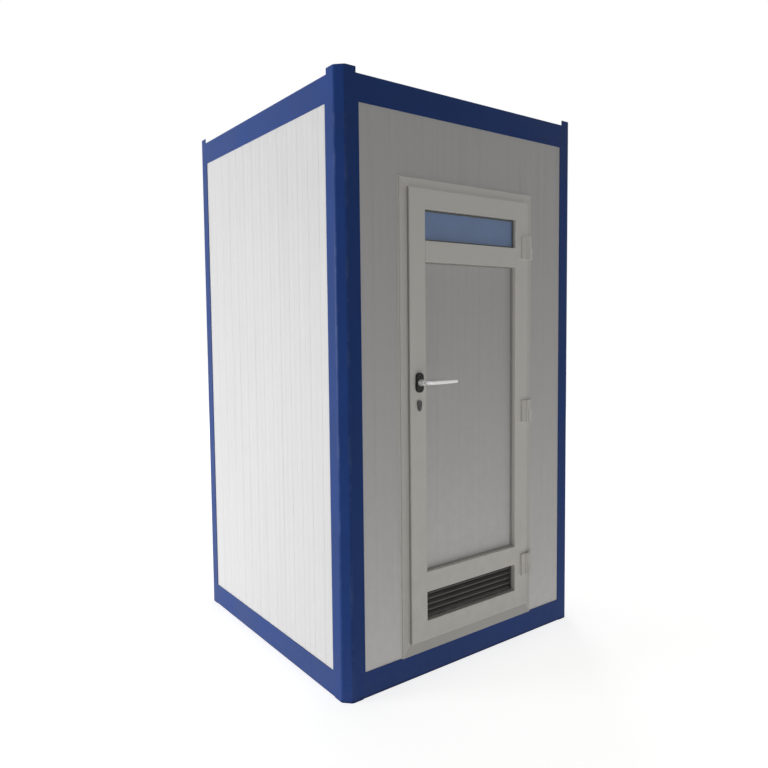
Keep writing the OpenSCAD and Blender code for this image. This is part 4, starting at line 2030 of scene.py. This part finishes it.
@dataclass
class LeverSet:
    """The two lever handles, their plates and the lock below.

    A station of a grip gives its distance from the spindle, its height and its depth there. A
    flare of a boss gives how far it goes on and how much it narrows over that stretch. A step of
    a shield gives how far below its middle it starts and how much it narrows from there.
    """

    dresser: Dresser
    neck_r: float = 8.0
    neck_sides: int = 20
    neck_share: float = 0.6
    bend_r: float = 20.0
    bend_steps: int = 6
    start_in: float = 6.0
    stations: tuple[Triple, ...] = (
        (30, 16.4, 13.0), (60, 16.0, 12.0), (95, 15.0, 11.2), (128, 14.0, 10.4),
        (146, 13.2, 9.8), (150.5, 11.6, 8.4), (152, 8.0, 5.6),
    )
    boss_r: float = 14.5
    boss_edge: float = 1.5
    boss_gap: float = 0.6
    boss_foot: float = 5.0
    boss_flare: tuple[tuple[float, float], ...] = ((6.0, 0.92), (8.0, 0.88), (8.0, 0.86))
    boss_round: float = 1.2
    plate_round: float = 4.0
    plate_bore: float = 10.0
    spindle_w: float = 8.0
    spindle_round: float = 0.6
    shield_steps: tuple[tuple[float, float], ...] = ((1, 0.86), (8, 0.82), (14, 0.8))
    shield_round: float = 1.6
    lock_bore: float = 9.0
    plug_r: float = 8.0
    plug_in: float = 3.0
    plug_out: float = 1.4
    plug_round: float = 0.5
    key_w: float = 2.2
    key_h: float = 8.8
    key_d: float = 3.2

    def build(self) -> None:
        """Builds the levers, the plates and the lock."""
        leaf_front, leaf_back = (corner.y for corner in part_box("leaf_rail_top"))
        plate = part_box("lever_plate_outer")
        middle = (plate[0] + plate[1]) / 2
        for name, face, side in (
            ("outer", leaf_front, Side.OUTSIDE),
            ("inner", leaf_back, Side.INSIDE),
        ):
            foot = Vector((middle.x, face, middle.z))
            front = self.front_of(f"lever_{name}", side)
            self.grip(f"lever_{name}", foot, side, abs(front - face) / MM - self.neck_r)
            self.plate(f"lever_plate_{name}", foot, side)
            low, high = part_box(f"lever_plate_{name}")
            foot = Vector((middle.x, self.front_of(f"lever_plate_{name}", side), middle.z))
            wide = min(self.boss_r, (high.x - low.x) / MM / 2 - self.boss_edge)
            self.boss(f"lever_boss_{name}", foot, side, wide)
        self.spindle(middle, leaf_front, leaf_back)
        self.lock(leaf_front, leaf_back)

    def front_of(self, node: str, side: Side) -> float:
        """Returns the place along Y of the face of a CAD node that looks away from the leaf."""
        low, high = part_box(node)
        return low.y if side is Side.OUTSIDE else high.y

    def grip(self, node: str, foot: Vector, side: Side, reach: float) -> None:
        """Draws a lever out of its plate, round the bend and along the grip.

        Args:
            node: The CAD node it stands for.
            foot: The middle of the plate on the face of the leaf.
            side: The side of the leaf that it is on.
            reach: The distance of the grip's middle from the face, in millimetres.
        """
        put_down_all()
        centre = foot + mm(0, side * self.start_in, 0)
        bpy.ops.mesh.primitive_circle_add(
            vertices=self.neck_sides,
            radius=self.neck_r * MM,
            fill_type="NGON",
            location=centre,
            rotation=(math.radians(90), 0, 0),
        )
        piece = settle(f"{node}_handle")
        with editing(piece):
            bpy.ops.mesh.select_all(action="SELECT")

            def step(move: Vector, stretch: Triple = (1, 1, 1)) -> None:
                """Draws the end face on, then stretches it."""
                nonlocal centre
                bpy.ops.mesh.extrude_region_move(TRANSFORM_OT_translate={"value": move})
                centre = centre + move
                if stretch != (1, 1, 1):
                    bpy.ops.transform.resize(value=stretch, center_override=centre)

            straight = reach - self.bend_r - self.start_in
            for share in (self.neck_share, 1 - self.neck_share):
                step(mm(0, side * straight * share, 0))
            turn = 90 / self.bend_steps
            chord = 2 * self.bend_r * math.sin(math.radians(turn / 2))
            for k in range(self.bend_steps):
                way = math.radians((k + 0.5) * turn)
                step(mm(chord * math.sin(way), side * chord * math.cos(way), 0))
                turn_selected(-side * turn, Axis.Z, centre)
            tall = deep = 2 * self.neck_r
            for x, next_tall, next_deep in self.stations:
                move = foot.x + x * MM - centre.x
                step(Vector((move, 0, 0)), (1, next_deep / deep, next_tall / tall))
                tall, deep = next_tall, next_deep
        face_outwards(piece)
        round_off = piece.modifiers.new("round_off", "SUBSURF")
        round_off.levels = round_off.render_levels = 2
        apply_all(piece)
        self.dresser.dress(smooth(piece, angle=60), Paints.lever, Body.LEVER, node)

    def boss(self, name: str, foot: Vector, side: Side, wide: float) -> None:
        """Turns the flared foot of a lever, which stands just clear of its plate.

        Args:
            name: The piece's name.
            foot: The middle of the plate's front.
            side: The side of the leaf that it is on.
            wide: The radius of its foot, in millimetres.
        """
        start, end = (foot + mm(0, side * out, 0) for out in (self.boss_gap, self.boss_foot))
        piece = rod(name, start, end, wide * MM, sides=40)
        with editing(piece):
            pick_faces(piece, lambda c, n: n.y * side > FACING)
            for out, narrow in self.boss_flare:
                move = mm(0, side * out, 0)
                bpy.ops.mesh.extrude_region_move(TRANSFORM_OT_translate={"value": move})
                bpy.ops.transform.resize(value=(narrow, 1, narrow), center_override=foot)
        soften(
            piece, self.boss_round, segments=3, least=50,
            where=lambda p: (p.y - foot.y) * side < self.boss_foot * MM,
        )
        self.dresser.dress(smooth(piece, angle=50), Paints.lever, Body.LEVER)

    def plate(self, node: str, foot: Vector, side: Side) -> None:
        """Builds the oval plate with its domed edge.

        Args:
            node: The CAD node it stands for.
            foot: The middle of the plate on the face of the leaf.
            side: The side of the leaf that it is on.
        """
        front, bore = self.front_of(node, side), self.plate_bore * MM
        piece = soften(
            copy_of(node, f"{node}_cover"), self.plate_round, segments=4, least=50,
            where=lambda p: abs(p.y - front) < NEAR and (p.xz - foot.xz).length > bore,
        )
        self.dresser.dress(smooth(piece, angle=40), Paints.plastic, Body.LEAF, node)

    def spindle(self, middle: Vector, front: float, back: float) -> None:
        """Runs the square spindle through the leaf between the levers.

        Args:
            middle: A point of the spindle's axis, in metres.
            front: The outer face of the leaf.
            back: The inner face of the leaf.
        """
        half, ends = self.spindle_w / 2 * MM, self.start_in * MM
        low = Vector((middle.x - half, front - ends, middle.z - half))
        high = Vector((middle.x + half, back + ends, middle.z + half))
        bar = soften(block("lever_spindle", low, high), self.spindle_round)
        self.dresser.dress(smooth(bar), Paints.steel, Body.LEVER)

    def lock(self, front: float, back: float) -> None:
        """Builds the shields of the lock, which narrow downwards, and its keyed plugs.

        Args:
            front: The outer face of the leaf, in metres.
            back: The inner face of the leaf, in metres.
        """
        low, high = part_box("lock_cylinder")
        middle = (low + high) / 2

        def off_bore(p: Vector) -> bool:
            """Tells the points outside the bore of the lock."""
            return (p.xz - middle.xz).length > self.lock_bore * MM

        def on_shield(p: Vector) -> bool:
            """Tells the points of the two shields."""
            return off_bore(p) and (p.y < front + NEAR or p.y > back - NEAR)

        piece = copy_of("lock_cylinder", "lock_shields")
        with editing(piece, Pick.POINTS):
            for drop, narrow in self.shield_steps:
                pick_points(piece, lambda p, d=drop: p.z < middle.z - d * MM and on_shield(p))
                bpy.ops.transform.resize(value=(narrow, 1, 1), center_override=middle)
        soften(
            piece, self.shield_round, segments=3, least=50,
            where=lambda p: off_bore(p) and min(abs(p.y - low.y), abs(p.y - high.y)) < NEAR,
        )
        self.dresser.dress(smooth(piece, angle=40), Paints.lock, Body.LEAF, "lock_cylinder")
        for name, face, side in (("outer", low.y, Side.OUTSIDE), ("inner", high.y, Side.INSIDE)):
            self.plug(f"lock_plug_{name}", Vector((middle.x, face, middle.z)), side)

    def plug(self, name: str, foot: Vector, side: Side) -> None:
        """Builds the round end of the lock cylinder with its key slot.

        Args:
            name: The piece's name.
            foot: Its middle on the face of the shield.
            side: The side of the leaf that it is on.
        """
        tip = foot + mm(0, side * self.plug_out, 0)
        piece = rod(name, foot - mm(0, side * self.plug_in, 0), tip, self.plug_r * MM)
        half_w, half_h = self.key_w / 2 * MM, self.key_h / 2 * MM
        score(piece, Axis.X, [foot.x - half_w, foot.x + half_w])
        score(piece, Axis.Z, [foot.z - half_h, foot.z + half_h])
        with editing(piece):
            pick_faces(
                piece,
                lambda c, n: n.y * side > FACING
                and abs(c.x - foot.x) < half_w and abs(c.z - foot.z) < half_h,
            )
            bpy.ops.mesh.extrude_region_move(
                TRANSFORM_OT_translate={"value": (0, -side * self.key_d * MM, 0)}
            )
        rim = (self.plug_r - 1) * MM
        soften(
            piece, self.plug_round, least=50,
            where=lambda p: abs(p.y - tip.y) < NEAR and (p.xz - foot.xz).length > rim,
        )
        self.dresser.dress(smooth(piece, angle=40), Paints.lock, Body.LEAF)


# ------------------------------------------------------------------------------ studio


@dataclass(frozen=True)
class Lamp:
    """A soft square lamp that points at the cabin."""

    name: str
    place: Triple
    aim: Triple
    size: float
    watts: float
    tint: Triple = (1.0, 1.0, 1.0)
    unseen: bool = False

    def build(self) -> None:
        """Hangs the lamp, which the camera never sees, nor reflections where it says so."""
        put_down_all()
        bpy.ops.object.light_add(type="AREA", location=self.place)
        lamp = bpy.context.object
        lamp.name = self.name
        lamp.data.shape = "SQUARE"
        lamp.data.size = self.size
        lamp.data.energy = self.watts
        lamp.data.color = self.tint
        lamp.visible_camera = False
        lamp.visible_glossy = lamp.visible_transmission = not self.unseen
        way = Vector(self.aim) - Vector(self.place)
        lamp.rotation_euler = way.to_track_quat("-Z", "Y").to_euler()


@dataclass
class Studio:
    """A pale floor, soft lamps and the camera."""

    eye: Triple = (-2.0366, -2.7451, 1.4506)
    heading: float = -36.303
    tilt: float = -3.711
    roll: float = 0.614
    lens: float = 31.75
    sensor: float = 36.0
    shift: tuple[float, float] = (0.0080, -0.0187)
    sight: tuple[float, float] = (0.05, 200.0)
    ambient: float = 0.1
    floor_size: float = 60.0
    floor_colour: Srgb = (190, 190, 188)
    floor_glow: tuple[float, float] = (0.8, 1.0)
    glow_reach: tuple[float, float] = (1.6, 5.0)
    lamps: tuple[Lamp, ...] = (
        Lamp("key_left", (-9.0, 3.6, 1.2), (0.0, 0.2, 1.1), 3.0, 755.0, (0.975, 0.985, 1.0)),
        Lamp("fill_front", (-0.9, -7.2, 1.8), (0.0, -0.6, 1.1), 2.5, 46.5, (1.0, 0.99, 0.965)),
        Lamp("fill_back_right", (4.7, 6.2, 3.0), (0.0, 0.2, 1.2), 3.2, 262.0),
        Lamp("overhead", (0.0, 0.2, 7.0), (0.0, 0.2, 0.0), 2.4, 85.0),
        Lamp(
            "floor_bounce", (0.0, 0.0, 0.004), (0.0, 0.0, 5.0), 5.0, 36.0, (1.0, 0.985, 0.965),
            unseen=True,
        ),
    )

    def build(self) -> None:
        """Sets up the floor, the world, the lamps and the camera."""
        self.floor()
        self.world()
        for lamp in self.lamps:
            lamp.build()
        self.camera()

    def in_sight(self, graph: Graph) -> Socket:
        """Returns 1 for what is seen straight, mirrored or through glass, and 0 otherwise."""
        rays = graph.add("ShaderNodeLightPath")
        seen = graph.math("MAXIMUM", rays.outputs["Is Camera Ray"], rays.outputs["Is Glossy Ray"])
        return graph.math("MAXIMUM", seen, rays.outputs["Is Transmission Ray"])

    def floor(self) -> None:
        """Lays the floor, which glows only where it is in sight, and more so further away."""
        put_down_all()
        bpy.ops.mesh.primitive_plane_add(size=self.floor_size)
        floor = settle("studio_floor")
        material = bpy.data.materials.new("studio_floor")
        material.use_nodes = True
        graph = Graph(material.node_tree)
        matt = graph.add("ShaderNodeBsdfDiffuse")
        matt.inputs["Color"].default_value = linear(self.floor_colour)
        glow = graph.add("ShaderNodeEmission")
        away = graph.add("ShaderNodeVectorMath", operation="LENGTH")
        graph.feed(away.inputs[0], graph.place())
        share = graph.spread(away.outputs["Value"], self.glow_reach, *self.floor_glow)
        graph.feed(glow.inputs["Strength"], graph.math("MULTIPLY", self.in_sight(graph), share))
        both = graph.add("ShaderNodeAddShader")
        graph.feed(both.inputs[0], matt.outputs[0])
        graph.feed(both.inputs[1], glow.outputs[0])
        end = graph.add("ShaderNodeOutputMaterial")
        graph.feed(end.inputs["Surface"], both.outputs[0])
        floor.data.materials.append(material)

    def world(self) -> None:
        """Fills the room with even light, and is white where it is in sight."""
        world = bpy.data.worlds.new("studio")
        bpy.context.scene.world = world
        world.use_nodes = True
        graph = Graph(world.node_tree)
        air = graph.add("ShaderNodeBackground")
        strength = graph.spread(self.in_sight(graph), (0.0, 1.0), self.ambient, 1.0)
        graph.feed(air.inputs["Strength"], strength)
        air.inputs["Color"].default_value = (1, 1, 1, 1)
        end = graph.add("ShaderNodeOutputWorld")
        graph.feed(end.inputs["Surface"], air.outputs[0])

    def camera(self) -> None:
        """Sets the camera up."""
        data = bpy.data.cameras.new("camera")
        camera = bpy.data.objects.new("camera", data)
        bpy.context.scene.collection.objects.link(camera)
        data.lens = self.lens
        data.sensor_width = self.sensor
        data.shift_x, data.shift_y = self.shift
        data.clip_start, data.clip_end = self.sight
        turns = Matrix()
        for axis, degrees in (("Z", self.heading), ("X", self.tilt), ("Y", self.roll), ("X", 90)):
            turns = turns @ Matrix.Rotation(math.radians(degrees), 4, axis)
        camera.matrix_world = Matrix.Translation(self.eye) @ turns
        bpy.context.scene.camera = camera


def main() -> None:
    """Builds the cabin round its frame, then the studio."""
    logging.basicConfig(level=logging.INFO, format="%(name)s: %(message)s")
    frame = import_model()
    bpy.context.scene.view_settings.view_transform = "Standard"
    dresser = Dresser()
    shell = Shell(dresser)
    for part in (
        SteelFrame(dresser),
        shell,
        DoorFrame(dresser),
        DoorLeaf(dresser, shell),
        Louvre(dresser),
        Hinges(dresser),
        LeverSet(dresser),
        Studio(),
    ):
        part.build()
        LOG.info("%s is built", type(part).__name__)
    LOG.info("%d pieces round %d CAD nodes", dresser.pieces, len(frame["nodes"]))


if __name__ == "__main__":
    main()
